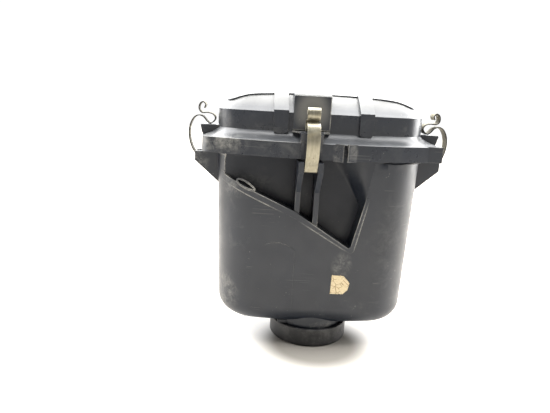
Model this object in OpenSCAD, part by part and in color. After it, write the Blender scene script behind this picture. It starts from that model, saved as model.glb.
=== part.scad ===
// Air filter housing for a small engine: a moulded case with an outlet neck in its floor, a panel
// filter on the case rim, and a domed lid held down by four spring clips.
// Origin: on the axis of the outlet neck, at the lower end of its rubber collar. +Z is up and -Y is
// the front. The case lies behind the neck's axis, with its middle at y = mid_y.

/* [Outlet] */
// Outer diameter of the rubber collar
collar_d = 73.6; // [71:0.2:76]
// Height of the rubber collar
collar_h = 17; // [15:0.5:18]
// Clear bore through the collar and the neck
outlet_bore = 60; // [56:0.5:61]
// Distance from the neck's axis back to the middle of the case
mid_y = 13; // [10:1:16]

/* [Case] */
// Half-width of the case at its floor
case_hw = 88.2; // [84:0.2:90]
// Half-depth of the case at its floor, at the corners
case_hd = 40; // [38:0.5:41]
// How far the middle of the front bulges past its corners
case_bow = 8; // [4:0.5:9]
// Radius of the upright corners
case_corner_r = 34; // [28:1:36]
// Radius round the floor
floor_r = 17; // [12:1:20]
// How much wider each side is at the rim than at the floor
draft = 5.3; // [3:0.1:6]
// Wall thickness
wall = 2.5; // [2:0.1:3]
// Height of the floor above the collar's lower end
floor_z = 19.5; // [19:0.5:21]
// Underside of the case rim
rim_z = 176; // [174.6:0.2:178]
// Thickness of the case rim
rim_t = 8; // [6:0.5:9]

/* [Front recess] */
// How deep the recess goes behind the middle of the front
recess_depth = 19; // [12:1:21]

/* [Lid] */
// Half-width of the skirt that surrounds the case rim
skirt_hw = 106.6; // [106:0.2:108]
// Half-depth of the skirt at its corners
skirt_hd = 33; // [32:0.5:35]
// How far the middle of the skirt bulges past its corners
skirt_bow = 24; // [22:0.5:26]
// Lower edge of the skirt
skirt_z = 175.4; // [174:0.1:176]
// Upper edge of the skirt
skirt_top = 188.3; // [188:0.1:189]
// Half-width of the upright wall of the lid
lid_hw = 94; // [93:0.1:96]
// Half-depth of the upright wall at its corners
lid_hd = 25; // [24:0.5:27]
// How far the middle of the upright wall bulges past its corners
lid_bow = 19; // [17:0.5:20]
// Foot of the upright wall
wall_foot_z = 195.7; // [195:0.1:197]
// Top of the upright wall, where the dome starts
crease_z = 212; // [210:0.5:213]
// Rise of the dome above the crease
dome_rise = 17.2; // [15:0.2:18]
// Height of the raised bands above the dome
relief = 1.8; // [1.4:0.1:2.2]
// Height of the raised panel above the dome
panel_relief = 1; // [0.6:0.1:1.2]

/* [Clips] */
// Width of the spring strip
strip_w = 10.8; // [9:0.1:11.2]
// Thickness of the spring strip
strip_t = 0.9; // [0.7:0.1:1]
// Radius of the moulded bar that a clip turns on
bar_r = 1.6; // [1.4:0.1:1.8]
// Place of the front and rear clips along X
clip_x = -12; // [-14:1:-8]

/* [Filter] */
// Half-width of the pleated pack
pack_hw = 70; // [60:1:70]
// Half-depth of the pleated pack
pack_hd = 25; // [20:1:25]
// Distance from one pleat to the next
pleat_pitch = 5; // [4:0.5:7]

/* [Mounting] */
// Distance between the two mounting holes
mount_gap = 116; // [100:2:120]
// Clear bore of the mounting sleeves
sleeve_bore = 6.4; // [5.4:0.1:7]

/* [Hidden] */

eps = 0.01;
fine = 96;

// Neck and collar
neck_r = outlet_bore / 2;
neck_wall = 2.5;
neck_z = 6;
neck_top = 29;

// Case
rim_top = rim_z + rim_t;
rim_fillet = 4;
skirt_wall = 2.2;
rim_gap = 1;
rim_inset = skirt_wall + rim_gap;
skirt_corner_r = 9;
recess_y = mid_y - case_hd - case_bow - 2 + recess_depth;
recess_top = rim_z + 0.6;
recess_runout = 178.3;

// Lid
lid_corner_r = 20;
lid_wall = 2.4;
clamp_z = 188;
shoulder = 52;
dome_fullness = 4;
dome_insets = [0, 1.5, 4, 8, 14, 22, 34, shoulder];
brow_depth = 10;
brow_reach = 8;
crown_taper = 0.55;
band_x = [-38, 36];
band_w = 12.6;

// Clip geometry in the plane across a side: u is outward from the skirt, then height
bar_u = 4.6;
bar_z = 166.4;
eye_gap = 0.05;
catch_z = 197;
catch_w = 19;
side_catch_w = 26;
pad_u = -10.6;
pad_w = 31.5;
pad_top = 229;
bracket_gap = 12;
plate_t = 4.5;
plate_u = 7.8;
plate_top = rim_z - 3;
plate_low = bar_z - 2.6;
side_wall_u = -14.2;
rear_wall_u = -7;
foot_z = 144.5;

// Inlet duct on the back of the lid
duct_x = 48;
duct_hw = 33;
duct_z = 198;
duct_h = 27;
duct_back = 62;
duct_wall = 2.4;

// Breather spigot on the back of the case
spigot_x = -46;
spigot_z = 120;
spigot_r = 8;
spigot_bore = 11;

// Drain boss in the floor
drain_x = 52;
drain_y = mid_y + 12;
drain_r = 7;
drain_bore_r = 4.6;
drain_drop = 5;

// Mounting ears on the back of the case
ear_z = 62;
ear_t = 5;
ear_y = mid_y + 60;
ear_r = 14;
grommet_r = 8;
sleeve_r = 5;

// ---------------------------------------------------------------- outlines and lofts

// Points along an arc.
function arc(cx, cy, r, from, to, n) =
    [for (i = [0 : n]) let (a = from + (to - from) * i / n) [cx + r * cos(a), cy + r * sin(a)]];

// How far the bulge of the front and back reaches at x.
function bulge(x, hw, bow) = bow * (1 - pow(x / hw, 2));

// A rounded rectangle round [0, y0], counter-clockwise from above, whose front and back bulge.
function outline(hw, hd, r, bow, y0 = mid_y, arc_n = 6, edge_n = 8) =
    let (corner = [for (q = [0 : 3])
             let (sx = (q == 0 || q == 3) ? 1 : -1, sy = q < 2 ? 1 : -1)
             arc(sx * (hw - r), sy * (hd - r), r, 90 * q, 90 * q + 90, arc_n)],
         edge = [for (i = [1 : edge_n - 1]) (hw - r) * (1 - 2 * i / edge_n)],
         flat = concat(corner[0], [for (x = edge) [x, hd]], corner[1], corner[2],
                       [for (x = edge) [-x, -hd]], corner[3]))
    [for (p = flat) [p.x, y0 + p.y + sign(p.y) * bulge(p.x, hw, bow)]];

// The same outline as a ring of 3-D points at height z.
function ring(hw, hd, r, bow, z, y0 = mid_y) =
    [for (p = outline(hw, hd, r, bow, y0)) [p.x, p.y, z]];

// Side faces between ring a and ring b of n points each.
function band_faces(a, b, n) =
    [for (i = [0 : n - 1])
        let (j = (i + 1) % n)
        each [[a * n + i, b * n + i, a * n + j], [a * n + j, b * n + i, b * n + j]]];

// A closed solid through a stack of rings, capped at both ends.
module loft(rings) {
    n = len(rings[0]);
    m = len(rings);
    sides = [for (k = [0 : m - 2]) each band_faces(k, k + 1, n)];
    lower = [for (i = [0 : n - 1]) i];
    upper = [for (i = [n - 1 : -1 : 0]) (m - 1) * n + i];
    polyhedron([for (r = rings) each r], concat([lower], sides, [upper]));
}

// A ring-shaped solid: the last outline joins back to the first.
module hoop(rings) {
    n = len(rings[0]);
    m = len(rings);
    polyhedron([for (r = rings) each r],
               [for (k = [0 : m - 1]) each band_faces(k, (k + 1) % m, n)]);
}

// A plate in the plane across a side, of the given width along the side.
module across(width) {
    rotate([90, 0, 0])
        linear_extrude(width, center = true)
            children();
}

// Puts a piece made on the +X side of the skirt onto one of the four sides.
module on_side(side) {
    front_u = skirt_hd + bulge(clip_x, skirt_hw, skirt_bow);
    turn = side == "right" ? 0 : side == "rear" ? 90 : side == "left" ? 180 : 270;
    x = side == "right" ? skirt_hw : side == "left" ? -skirt_hw : clip_x;
    y = side == "front" ? mid_y - front_u : side == "rear" ? mid_y + front_u : mid_y;
    translate([x, y, 0])
        rotate([0, 0, turn])
            children();
}

// ---------------------------------------------------------------- case

// Growth of the case's half-width and half-depth from its floor up to height z.
function case_grow(z) = draft * (z - floor_z) / (rim_z - floor_z);

// Outline of the case at height z, moved inward by inset.
function case_ring(z, inset) =
    ring(case_hw + case_grow(z) - inset, case_hd + 0.45 * case_grow(z) - inset,
         case_corner_r - inset, case_bow, z);

// Rings round the floor radius r, starting at the floor height z0.
function floor_rings(z0, inset, r, n) =
    [for (i = [0 : n])
        let (a = 90 * i / n)
        case_ring(z0 + r * (1 - cos(a)), inset + r * (1 - sin(a)))];

// Outline of the case rim at height z.
function rim_ring(z) =
    ring(skirt_hw - rim_inset, skirt_hd - rim_inset, skirt_corner_r - rim_inset, skirt_bow, z);

module case_outer() {
    loft(concat(floor_rings(floor_z, 0, floor_r, 5),
                [case_ring(rim_z - rim_fillet, 0), rim_ring(rim_z), rim_ring(rim_top)]));
}

module case_inner() {
    loft(concat(floor_rings(floor_z + wall, wall, floor_r - wall, 4),
                [case_ring(rim_top + 1, wall)]));
}

// Outline of the front recess in the plane of the front: a skewed V that runs up into the rim.
function recess_outline(grow) =
    [[-84 - grow, recess_top + grow], [-87 - grow, 156 - grow], [-22, 127.5 - 1.1 * grow],
     [29 + grow, 95 - 1.6 * grow], [40 + grow, 142], [46 + grow, recess_top + grow]];

module recess_prism(grow, floor_y) {
    translate([0, floor_y, 0])
        rotate([90, 0, 0])
            linear_extrude(60)
                polygon(recess_outline(grow));
}

// The slope at the upper right of the recess, where it runs out into the front wall.
module recess_ramp() {
    back_y = recess_y + 1;
    polyhedron([[16, back_y, recess_runout], [41.5, back_y, 138], [47.6, back_y, recess_runout],
                [47.6, -34.8, recess_runout]],
               [[0, 1, 2], [1, 0, 3], [2, 1, 3], [0, 2, 3]]);
}

// The moulded bar that a clip turns on.
module clip_bar() {
    translate([bar_u, 0, bar_z])
        rotate([90, 0, 0])
            cylinder(r = bar_r, h = bracket_gap + 2 * eps, center = true, $fn = fine);
}

// The two gusset plates of a clip bracket on a wall whose face is at wall_u, and their bar.
module bracket(wall_u) {
    root_u = wall_u - 1;
    for (s = [-1, 1])
        translate([0, s * (bracket_gap + plate_t) / 2, 0])
            across(plate_t)
                polygon([[root_u, foot_z - 1], [root_u, plate_top], [plate_u, plate_top - 1],
                         [plate_u, plate_low], [wall_u, foot_z]]);
    clip_bar();
}

// The front bracket's plates run down inside the recess to its ledge.
module front_bracket() {
    surface_u = -8.6;
    floor_u = -8.8 - recess_depth;
    for (plate = [[1, 112], [-1, 124]])
        translate([0, plate[0] * (bracket_gap + plate_t) / 2, 0])
            across(plate_t)
                polygon([[floor_u, plate[1] - 4], [floor_u, plate_top], [plate_u, plate_top - 1],
                         [plate_u, plate_low], [surface_u, foot_z], [surface_u, plate[1]]]);
    clip_bar();
}

// A shallow raised blister low on the left of the front, with an arched top. It stands out most at
// its right edge and dies away to the left.
module blister() {
    left_x = -58;
    lean = 1.2;
    top_r = 22.5;
    intersection() {
        translate([0, mid_y - 20, 0])
            rotate([90, 0, 0])
                linear_extrude(60)
                    polygon(concat([[-20, 38]], arc(-36, 76, top_r, 45, 135, 8), [[left_x, 38]]));
        translate([left_x, 0, 0])
            rotate([0, 0, -lean])
                translate([-left_x, 0, 0])
                    loft([case_ring(floor_z + floor_r, 0), case_ring(rim_z - 50, 0)]);
    }
}

// A horizontal ear with a hole for a grommet, and a web under it.
module mounting_ear() {
    root_y = mid_y + case_hd + 2;
    web = 11;
    difference() {
        union() {
            translate([-ear_r, root_y, ear_z])
                cube([2 * ear_r, ear_y - root_y, ear_t]);
            translate([0, ear_y, ear_z])
                cylinder(r = ear_r, h = ear_t, $fn = fine);
            for (s = [-1, 1])
                translate([s * (ear_r - 1.5) - 1.5, root_y, ear_z - web])
                    rotate([90, 0, 90])
                        linear_extrude(3)
                            polygon([[0, 0], [web, web + eps], [0, web + eps]]);
        }
        translate([0, ear_y, ear_z - 1])
            cylinder(r = grommet_r, h = ear_t + 2, $fn = fine);
    }
}

module case() {
    back_y = mid_y + case_hd + case_bow;
    color([0.24, 0.25, 0.27]) {
        difference() {
            union() {
                difference() {
                    union() {
                        case_outer();
                        blister();
                    }
                    difference() {
                        case_inner();
                        recess_prism(wall, recess_y + wall);
                    }
                    recess_prism(0, recess_y);
                }
                recess_ramp();
                translate([0, 0, neck_z])
                    cylinder(r = neck_r + neck_wall, h = neck_top - neck_z, $fn = fine);
                translate([drain_x, drain_y, floor_z - drain_drop])
                    cylinder(r = drain_r, h = drain_drop + wall, $fn = fine);
                translate([spigot_x, back_y - 3, spigot_z])
                    rotate([-90, 0, 0])
                        cylinder(r = spigot_r, h = 19, $fn = fine);
                for (s = [-1, 1])
                    translate([s * mount_gap / 2, 0, 0])
                        mounting_ear();
            }
            translate([0, 0, neck_z - 1])
                cylinder(r = neck_r, h = neck_top - neck_z + 2, $fn = fine);
            translate([drain_x, drain_y, floor_z - drain_drop - 1])
                cylinder(r = drain_bore_r, h = drain_drop + wall + 3, $fn = fine);
            translate([spigot_x, back_y - 12, spigot_z])
                rotate([-90, 0, 0])
                    cylinder(d = spigot_bore, h = 30, $fn = fine);
        }
        for (side = ["left", "right"])
            on_side(side)
                bracket(side_wall_u);
        on_side("rear")
            bracket(rear_wall_u);
        on_side("front")
            front_bracket();
    }
}

// ---------------------------------------------------------------- outlet and small parts

module outlet_collar() {
    out = collar_d / 2;
    edge = 2.5;
    profile = concat([[neck_r, 0]], arc(out - edge, edge, edge, -90, 0, 5),
                     arc(out - 1, collar_h - 1, 1, 0, 90, 3),
                     [[neck_r + neck_wall, collar_h], [neck_r + neck_wall, neck_z],
                      [neck_r, neck_z]]);
    color([0.09, 0.09, 0.1])
        rotate_extrude($fn = fine)
            polygon(profile);
}

module drain_plug() {
    head_t = 2.5;
    color([0.12, 0.12, 0.13])
        translate([drain_x, drain_y, floor_z - drain_drop]) {
            cylinder(r = drain_bore_r, h = 2 * drain_drop, $fn = fine);
            translate([0, 0, -head_t])
                cylinder(r = drain_r + 1, h = head_t, $fn = fine);
        }
}

// A rubber elbow pushed over the breather spigot, turning down.
module breather_elbow() {
    thick = 2.5;
    out = spigot_r + thick;
    start_y = mid_y + case_hd + case_bow + 4;
    bend = 15;
    straight = 14;
    tail = 12;
    color([0.1, 0.1, 0.11])
        translate([spigot_x, start_y, spigot_z])
            difference() {
                union() {
                    rotate([-90, 0, 0])
                        cylinder(r = out, h = straight, $fn = fine);
                    translate([0, straight, -bend])
                        rotate([0, -90, 0])
                            rotate_extrude(angle = 90, $fn = fine)
                                translate([bend, 0])
                                    circle(r = out, $fn = 48);
                    translate([0, straight + bend, -bend - tail])
                        cylinder(r = out, h = tail, $fn = fine);
                }
                translate([0, -1, 0])
                    rotate([-90, 0, 0])
                        cylinder(r = spigot_r, h = straight + 1, $fn = fine);
                translate([0, straight, -bend])
                    rotate([0, -90, 0])
                        rotate_extrude(angle = 90, $fn = fine)
                            translate([bend, 0])
                                circle(r = spigot_r, $fn = 48);
                translate([0, straight + bend, -bend - tail - 1])
                    cylinder(r = spigot_r, h = tail + 1, $fn = fine);
            }
}

module breather_clamp() {
    out = spigot_r + 2.5;
    color([0.72, 0.7, 0.66])
        translate([spigot_x, mid_y + case_hd + case_bow + 7, spigot_z])
            rotate([-90, 0, 0])
                difference() {
                    union() {
                        cylinder(r = out + 0.8, h = 7, $fn = fine);
                        for (s = [-1, 1])
                            translate([s * 2.6 - 0.5, out - 0.2, 0])
                                cube([1, 6, 7]);
                    }
                    translate([0, 0, -1])
                        cylinder(r = out, h = 9, $fn = fine);
                    translate([-1.6, out - 3, -1])
                        cube([3.2, 10, 9]);
                }
}

module mount_grommets() {
    flange = 12;
    lip = 2.5;
    profile = [[sleeve_r, ear_z - lip], [flange, ear_z - lip], [flange, ear_z], [grommet_r, ear_z],
               [grommet_r, ear_z + ear_t], [flange, ear_z + ear_t], [flange, ear_z + ear_t + lip],
               [sleeve_r, ear_z + ear_t + lip]];
    color([0.1, 0.1, 0.1])
        for (s = [-1, 1])
            translate([s * mount_gap / 2, ear_y, 0])
                rotate_extrude($fn = fine)
                    polygon(profile);
}

module mount_sleeves() {
    proud = 3;
    color([0.7, 0.68, 0.62])
        for (s = [-1, 1])
            translate([s * mount_gap / 2, ear_y, ear_z - proud])
                difference() {
                    cylinder(r = sleeve_r, h = ear_t + 2 * proud, $fn = fine);
                    translate([0, 0, -1])
                        cylinder(d = sleeve_bore, h = ear_t + 2 * proud + 2, $fn = fine);
                }
}

// A torn piece of paper tape stuck low on the front.
module paper_label() {
    x = 23;
    z = 61.5;
    tilt = atan(0.45 * draft / (rim_z - floor_z));
    swing = atan(2 * case_bow * x / pow(case_hw, 2));
    surface_y = mid_y - case_hd - 0.45 * case_grow(z) - bulge(x, case_hw + case_grow(z), case_bow);
    color([0.82, 0.73, 0.56])
        translate([x, surface_y + 0.15, z])
            rotate([90 + tilt, 0, swing])
                linear_extrude(0.5)
                    polygon([[-8.6, -9], [3, -9], [7.2, -5], [8.6, 1.6], [2.8, 8.4], [-8, 9]]);
}

// ---------------------------------------------------------------- filter

// Moulded rim that seals on the case rim, with the wall that holds the pleated pack.
module filter_frame() {
    wall_t = 2.5;
    foot = rim_z + 2;
    top = 204;
    seal = [for (z = [rim_top, clamp_z])
            ring(skirt_hw - rim_inset - 1, skirt_hd - rim_inset - 1, 5, skirt_bow, z)];
    outer = [for (z = [clamp_z, top]) ring(pack_hw + wall_t, pack_hd + wall_t, 6, 0, z)];
    inner = [for (z = [top, foot]) ring(pack_hw, pack_hd, 4, 0, z)];
    under = [for (z = [foot, rim_top]) ring(pack_hw + wall_t, pack_hd + wall_t, 6, 0, z)];
    color([0.62, 0.33, 0.16])
        hoop(concat(seal, outer, inner, under));
}

module filter_media() {
    paper = 0.7;
    low = rim_z + 4;
    high = 203;
    count = floor(2 * (pack_hw - 1) / pleat_pitch);
    start = -count * pleat_pitch / 2;
    crease_x = [for (i = [0 : 2 * count]) start + i * pleat_pitch / 2];
    upper = [for (i = [0 : 2 * count]) [crease_x[i], i % 2 == 0 ? low + paper : high]];
    lower = [for (i = [2 * count : -1 : 0]) [crease_x[i], i % 2 == 0 ? low - 3 * paper : high - 4 * paper]];
    color([0.86, 0.82, 0.66])
        translate([0, mid_y, 0])
            across(2 * pack_hd)
                polygon(concat(upper, lower));
}

module filter_screen() {
    thick = 0.8;
    bar = 1.2;
    nx = 14;
    ny = 5;
    w = 2 * pack_hw - 4;
    d = 2 * pack_hd - 2;
    cell_x = (w - bar) / nx;
    cell_y = (d - bar) / ny;
    color([0.66, 0.66, 0.64])
        translate([-w / 2, mid_y - d / 2, rim_z + 0.8])
            difference() {
                union() {
                    cube([w, d, thick]);
                    for (x = [-2, w])
                        translate([x, d / 2 - 6, 0])
                            cube([2, 12, thick]);
                    for (y = [-1, d])
                        translate([w / 2 - 8, y, 0])
                            cube([16, 1, thick]);
                }
                for (i = [0 : nx - 1])
                    for (j = [0 : ny - 1])
                        translate([bar + i * cell_x, bar + j * cell_y, -1])
                            cube([cell_x - bar, cell_y - bar, thick + 2]);
            }
}

module prefilter_foam() {
    color([0.2, 0.2, 0.22])
        loft([for (z = [204, 209]) ring(pack_hw + 1.5, pack_hd + 1.5, 6, 0, z)]);
}

// ---------------------------------------------------------------- lid

// How far the front and back of the dome are inset where its sides are inset by d.
function front_inset(d) = crown_taper * d + brow_depth * (1 - exp(-d / brow_reach));

// Outline of the lid's upright wall, grown outward, with its sides moved in by d.
function lid_ring(d, grow, z) =
    let (tx = 1 - d / lid_hw, ty = 1 - front_inset(d) / (lid_hd + lid_bow))
    [for (p = ring(lid_hw + grow, lid_hd + grow, lid_corner_r + grow, lid_bow, z))
        [p.x * tx, mid_y + (p.y - mid_y) * ty, z]];

// Height of the dome above the crease, a distance d in from the side wall.
function dome(d) = dome_rise * (1 - pow(1 - min(d, shoulder) / shoulder, dome_fullness));

// The wall and dome of the lid as a solid, from height z0 up.
module lid_bell(grow, z0) {
    loft(concat([lid_ring(0, grow, z0)],
                [for (d = dome_insets) lid_ring(d, grow, crease_z + dome(d) + grow)]));
}

module lid_outer() {
    loft([ring(skirt_hw, skirt_hd, skirt_corner_r, skirt_bow, skirt_z),
          ring(skirt_hw - 0.3, skirt_hd - 0.3, skirt_corner_r, skirt_bow, skirt_top - 0.8),
          ring(skirt_hw - 1, skirt_hd - 1, skirt_corner_r - 0.7, skirt_bow, skirt_top),
          lid_ring(0, 0, wall_foot_z),
          for (d = dome_insets)
              lid_ring(d, 0, crease_z + dome(d))]);
}

module lid_inner() {
    inset = [0, 7, 17, 33, shoulder];
    loft(concat([for (z = [skirt_z - 1, clamp_z])
                    ring(skirt_hw - skirt_wall, skirt_hd - skirt_wall, skirt_corner_r - skirt_wall,
                         skirt_bow, z)],
                [ring(skirt_hw - 8, skirt_hd - 6, 5, skirt_bow - 2, clamp_z),
                 lid_ring(0, -lid_wall, wall_foot_z - 1)],
                [for (d = inset) lid_ring(d, -lid_wall, crease_z + dome(d) - lid_wall)]));
}

// Two bands that run over the lid from front to back, and the raised panel between and beside them.
module lid_relief() {
    panel_hw = 86;
    panel_hd = 18;
    intersection() {
        lid_bell(relief, wall_foot_z - 1.6);
        for (x = band_x)
            translate([x - band_w / 2, mid_y - 60, wall_foot_z - 3])
                cube([band_w, 120, 50]);
    }
    intersection() {
        lid_bell(panel_relief, crease_z - 5);
        translate([0, mid_y, crease_z - 3])
            linear_extrude(30)
                polygon(outline(panel_hw, panel_hd, 9, 4, 0));
    }
}

// A catch with its top at height z that a clip's fold rests on, and the two small ribs under it.
module lid_catch(width, z) {
    across(width)
        polygon([[-14, 190.5], [-14, z], [2.2, z], [2.9, z - 1.1], [1.6, 190.5], [0.4, 188],
                 [-2, 187]]);
    for (s = [-1, 1])
        translate([0, s * (strip_w / 2 + 2), 0])
            across(2.4)
                polygon([[-2, skirt_z], [1.3, skirt_z], [0.4, 182], [1.4, 189.5], [-2, 190.5]]);
}

// The thin shelf over the front or rear catch, as wide as the pad where it leaves it.
module lid_shelf() {
    thick = 1.4;
    wide = pad_w / 2;
    translate([0, 0, catch_z - thick])
        linear_extrude(thick)
            polygon([[-14, -wide], [pad_u, -wide], [-8, -11], [2.2, -9.5], [2.2, 9.5], [-8, 11],
                     [pad_u, wide], [-14, wide]]);
}

// The flat pad behind the front or rear clip's upper loop.
module lid_pad() {
    across(pad_w)
        polygon([[-40, 198], [pad_u, 198], [pad_u, pad_top - 2.6], [pad_u - 1.4, pad_top - 1.2],
                 [-26, pad_top], [-40, pad_top]]);
}

// Two flared wedges either side of an upright slot in the skirt.
module skirt_guide() {
    slot_x = 17;
    slot = 3.6;
    reach = 8;
    front_y = mid_y - skirt_hd - bulge(slot_x, skirt_hw, skirt_bow);
    for (s = [-1, 1])
        translate([slot_x, front_y, skirt_z - 1])
            linear_extrude(skirt_top - skirt_z + 1)
                polygon([[s * slot / 2, 1.5], [s * slot / 2, -2], [s * (slot / 2 + reach), 0.6],
                         [s * (slot / 2 + reach), 1.5]]);
}

// The square corner at the right of the front.
module corner_lug() {
    x0 = 84;
    translate([x0, mid_y - skirt_hd - 5, skirt_z])
        cube([skirt_hw - x0 - 0.4, 20, skirt_top - skirt_z]);
}

module inlet_duct() {
    start_y = mid_y + 24;
    translate([duct_x - duct_hw, start_y, duct_z])
        cube([2 * duct_hw, mid_y + duct_back - start_y, duct_h]);
}

module duct_bore() {
    translate([duct_x - duct_hw + duct_wall, mid_y + 18, duct_z + duct_wall])
        cube([2 * (duct_hw - duct_wall), duct_back, duct_h - 2 * duct_wall]);
}

module lid() {
    color([0.27, 0.28, 0.3])
        difference() {
            union() {
                lid_outer();
                lid_relief();
                for (side = ["front", "rear"])
                    on_side(side) {
                        lid_catch(catch_w, catch_z - 0.4);
                        lid_shelf();
                        lid_pad();
                    }
                for (side = ["left", "right"])
                    on_side(side)
                        lid_catch(side_catch_w, catch_z);
                skirt_guide();
                corner_lug();
                inlet_duct();
            }
            lid_inner();
            duct_bore();
        }
}

// Rubber boot over the duct's mouth.
module inlet_snorkel() {
    thick = 3;
    length = 34;
    start = mid_y + duct_back - 12;
    color([0.1, 0.1, 0.11])
        difference() {
            translate([duct_x - duct_hw - thick, start, duct_z - thick])
                cube([2 * (duct_hw + thick), length, duct_h + 2 * thick]);
            translate([duct_x - duct_hw, start - 1, duct_z])
                cube([2 * duct_hw, length + 2, duct_h]);
        }
}

module snorkel_clamp() {
    thick = 3;
    band = 0.8;
    start = mid_y + duct_back - 9;
    color([0.7, 0.68, 0.64])
        difference() {
            translate([duct_x - duct_hw - thick - band, start, duct_z - thick - band])
                cube([2 * (duct_hw + thick + band), 7, duct_h + 2 * (thick + band)]);
            translate([duct_x - duct_hw - thick, start - 1, duct_z - thick])
                cube([2 * (duct_hw + thick), 9, duct_h + 2 * thick]);
        }
}

module inlet_screen() {
    nx = 11;
    nz = 5;
    bar = 1;
    w = 2 * duct_hw;
    cell_x = (w - bar) / nx;
    cell_z = (duct_h - bar) / nz;
    color([0.5, 0.5, 0.5])
        translate([duct_x - duct_hw, mid_y + duct_back, duct_z])
            difference() {
                cube([w, 1.2, duct_h]);
                for (i = [0 : nx - 1])
                    for (j = [0 : nz - 1])
                        translate([bar + i * cell_x, -1, bar + j * cell_z])
                            cube([cell_x - bar, 4, cell_z - bar]);
            }
}

// ---------------------------------------------------------------- clips

// The strip's middle line from its eye to its curled end, as [u, height].
strip_points = [[6.8, 166.8], [8, 169.8], [11, 174.6], [13.4, 181.8], [14.2, 189.2], [13, 196.6],
                [9.8, 202.4], [5.4, 204.6], [1.2, 203.2], [-1.8, 199.8], [-4.6, 197.8], [-7.6, 199],
                [-9.6, 202.4], [-7.6, 205.9], [-2.8, 207.2], [2.6, 207], [5.4, 210.2],
                [4.9, 214.6], [2, 216.8], [-0.4, 214.6], [0.6, 211.2]];

// A point on the smooth curve through b and c, a fraction t of the way from b.
function through(a, b, c, d, t) =
    (2 * b + (c - a) * t + (2 * a - 5 * b + 4 * c - d) * t * t
     + (3 * b - a - 3 * c + d) * t * t * t) / 2;

// A smooth curve through all the points, with n steps between each pair.
function smooth(points, n) =
    let (last = len(points) - 1)
    [for (i = [0 : last - 1])
        let (a = points[max(i - 1, 0)], b = points[i], c = points[i + 1],
             d = points[min(i + 2, last)])
        for (j = [0 : n - 1]) through(a, b, c, d, j / n),
     points[last]];

// The line moved sideways by distance, to its left when positive.
function beside(line, distance) =
    let (last = len(line) - 1)
    [for (i = [0 : last])
        let (run = line[min(i + 1, last)] - line[max(i - 1, 0)], size = norm(run))
        line[i] + distance * [-run.y, run.x] / size];

module clip(side) {
    line = smooth(strip_points, 3);
    edge = beside(line, strip_t / 2);
    other = beside(line, -strip_t / 2);
    eye_r = bar_r + eye_gap;
    color([0.66, 0.62, 0.52])
        on_side(side) {
            across(strip_w)
                polygon(concat(edge, [for (i = [len(other) - 1 : -1 : 0]) other[i]]));
            translate([bar_u, 0, bar_z])
                rotate([90, 0, 0])
                    difference() {
                        cylinder(r = eye_r + strip_t, h = strip_w, center = true, $fn = fine);
                        cylinder(r = eye_r, h = strip_w + 2, center = true, $fn = fine);
                    }
        }
}

module front_clip() {
    clip("front");
}

module rear_clip() {
    clip("rear");
}

module left_clip() {
    clip("left");
}

module right_clip() {
    clip("right");
}

case();
outlet_collar();
drain_plug();
breather_elbow();
breather_clamp();
mount_grommets();
mount_sleeves();
paper_label();
filter_frame();
filter_media();
filter_screen();
prefilter_foam();
lid();
inlet_snorkel();
snorkel_clamp();
inlet_screen();
front_clip();
rear_clip();
left_clip();
right_clip();
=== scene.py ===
"""Air filter housing: detailed meshes, materials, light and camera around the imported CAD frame.

Shapes are worked out in millimetres, in the part's own frame, and turned into metres when a mesh is
made. The origin is on the outlet neck's axis at the collar's lower end, +Z is up and -Y is the front.
"""

import math

import bmesh
import bpy
import numpy as np
from mathutils import Matrix, Vector, noise


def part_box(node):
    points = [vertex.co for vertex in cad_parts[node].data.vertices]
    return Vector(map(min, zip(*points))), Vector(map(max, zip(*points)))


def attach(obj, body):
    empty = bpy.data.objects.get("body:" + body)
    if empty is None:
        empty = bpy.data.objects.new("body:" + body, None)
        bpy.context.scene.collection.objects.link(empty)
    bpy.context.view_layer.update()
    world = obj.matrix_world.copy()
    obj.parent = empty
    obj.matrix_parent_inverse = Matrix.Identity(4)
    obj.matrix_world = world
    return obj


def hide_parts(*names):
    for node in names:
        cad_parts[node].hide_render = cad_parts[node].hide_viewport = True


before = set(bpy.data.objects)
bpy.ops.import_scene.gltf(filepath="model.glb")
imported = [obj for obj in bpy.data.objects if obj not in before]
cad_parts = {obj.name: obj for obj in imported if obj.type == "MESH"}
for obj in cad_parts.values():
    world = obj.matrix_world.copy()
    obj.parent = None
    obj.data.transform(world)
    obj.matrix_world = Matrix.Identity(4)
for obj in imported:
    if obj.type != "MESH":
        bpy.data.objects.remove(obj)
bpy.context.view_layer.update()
MM = 0.001


def box_mm(node):
    """A CAD node's lowest and highest corner, middle and half size, in millimetres."""
    low, high = (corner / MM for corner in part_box(node))
    middle = [(a + b) / 2 for a, b in zip(low, high)]
    return low, high, middle, [(b - a) / 2 for a, b in zip(low, high)]


# ---------------- sizes, from the frame

case_low, case_high, _, _ = box_mm("case")
lid_low, lid_high, _, _ = box_mm("lid")
rim_low, rim_high, rim_middle, _ = box_mm("filter_frame")
collar_high = box_mm("outlet_collar")[1]
elbow_low, _, elbow_middle, _ = box_mm("breather_elbow")

MID_Y = rim_middle[1]
COLLAR_R = collar_high.x
COLLAR_H = collar_high.z
NECK_R = 30
NECK_OUT = 32.5
NECK_Z = case_low.z
NECK_TOP = 29

# An outline is (half width, half depth, corner radius, bulge of the front and back).
CASE = (88.2, 40, 34, 8)
FLOOR_Z = 19.5
FLOOR_R = 17
DRAFT = 5.3
WALL = 2.5
RIM_Z = 176
RIM_TOP = case_high.z
RIM_FILLET = 4
RECESS_Y = -18

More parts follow.
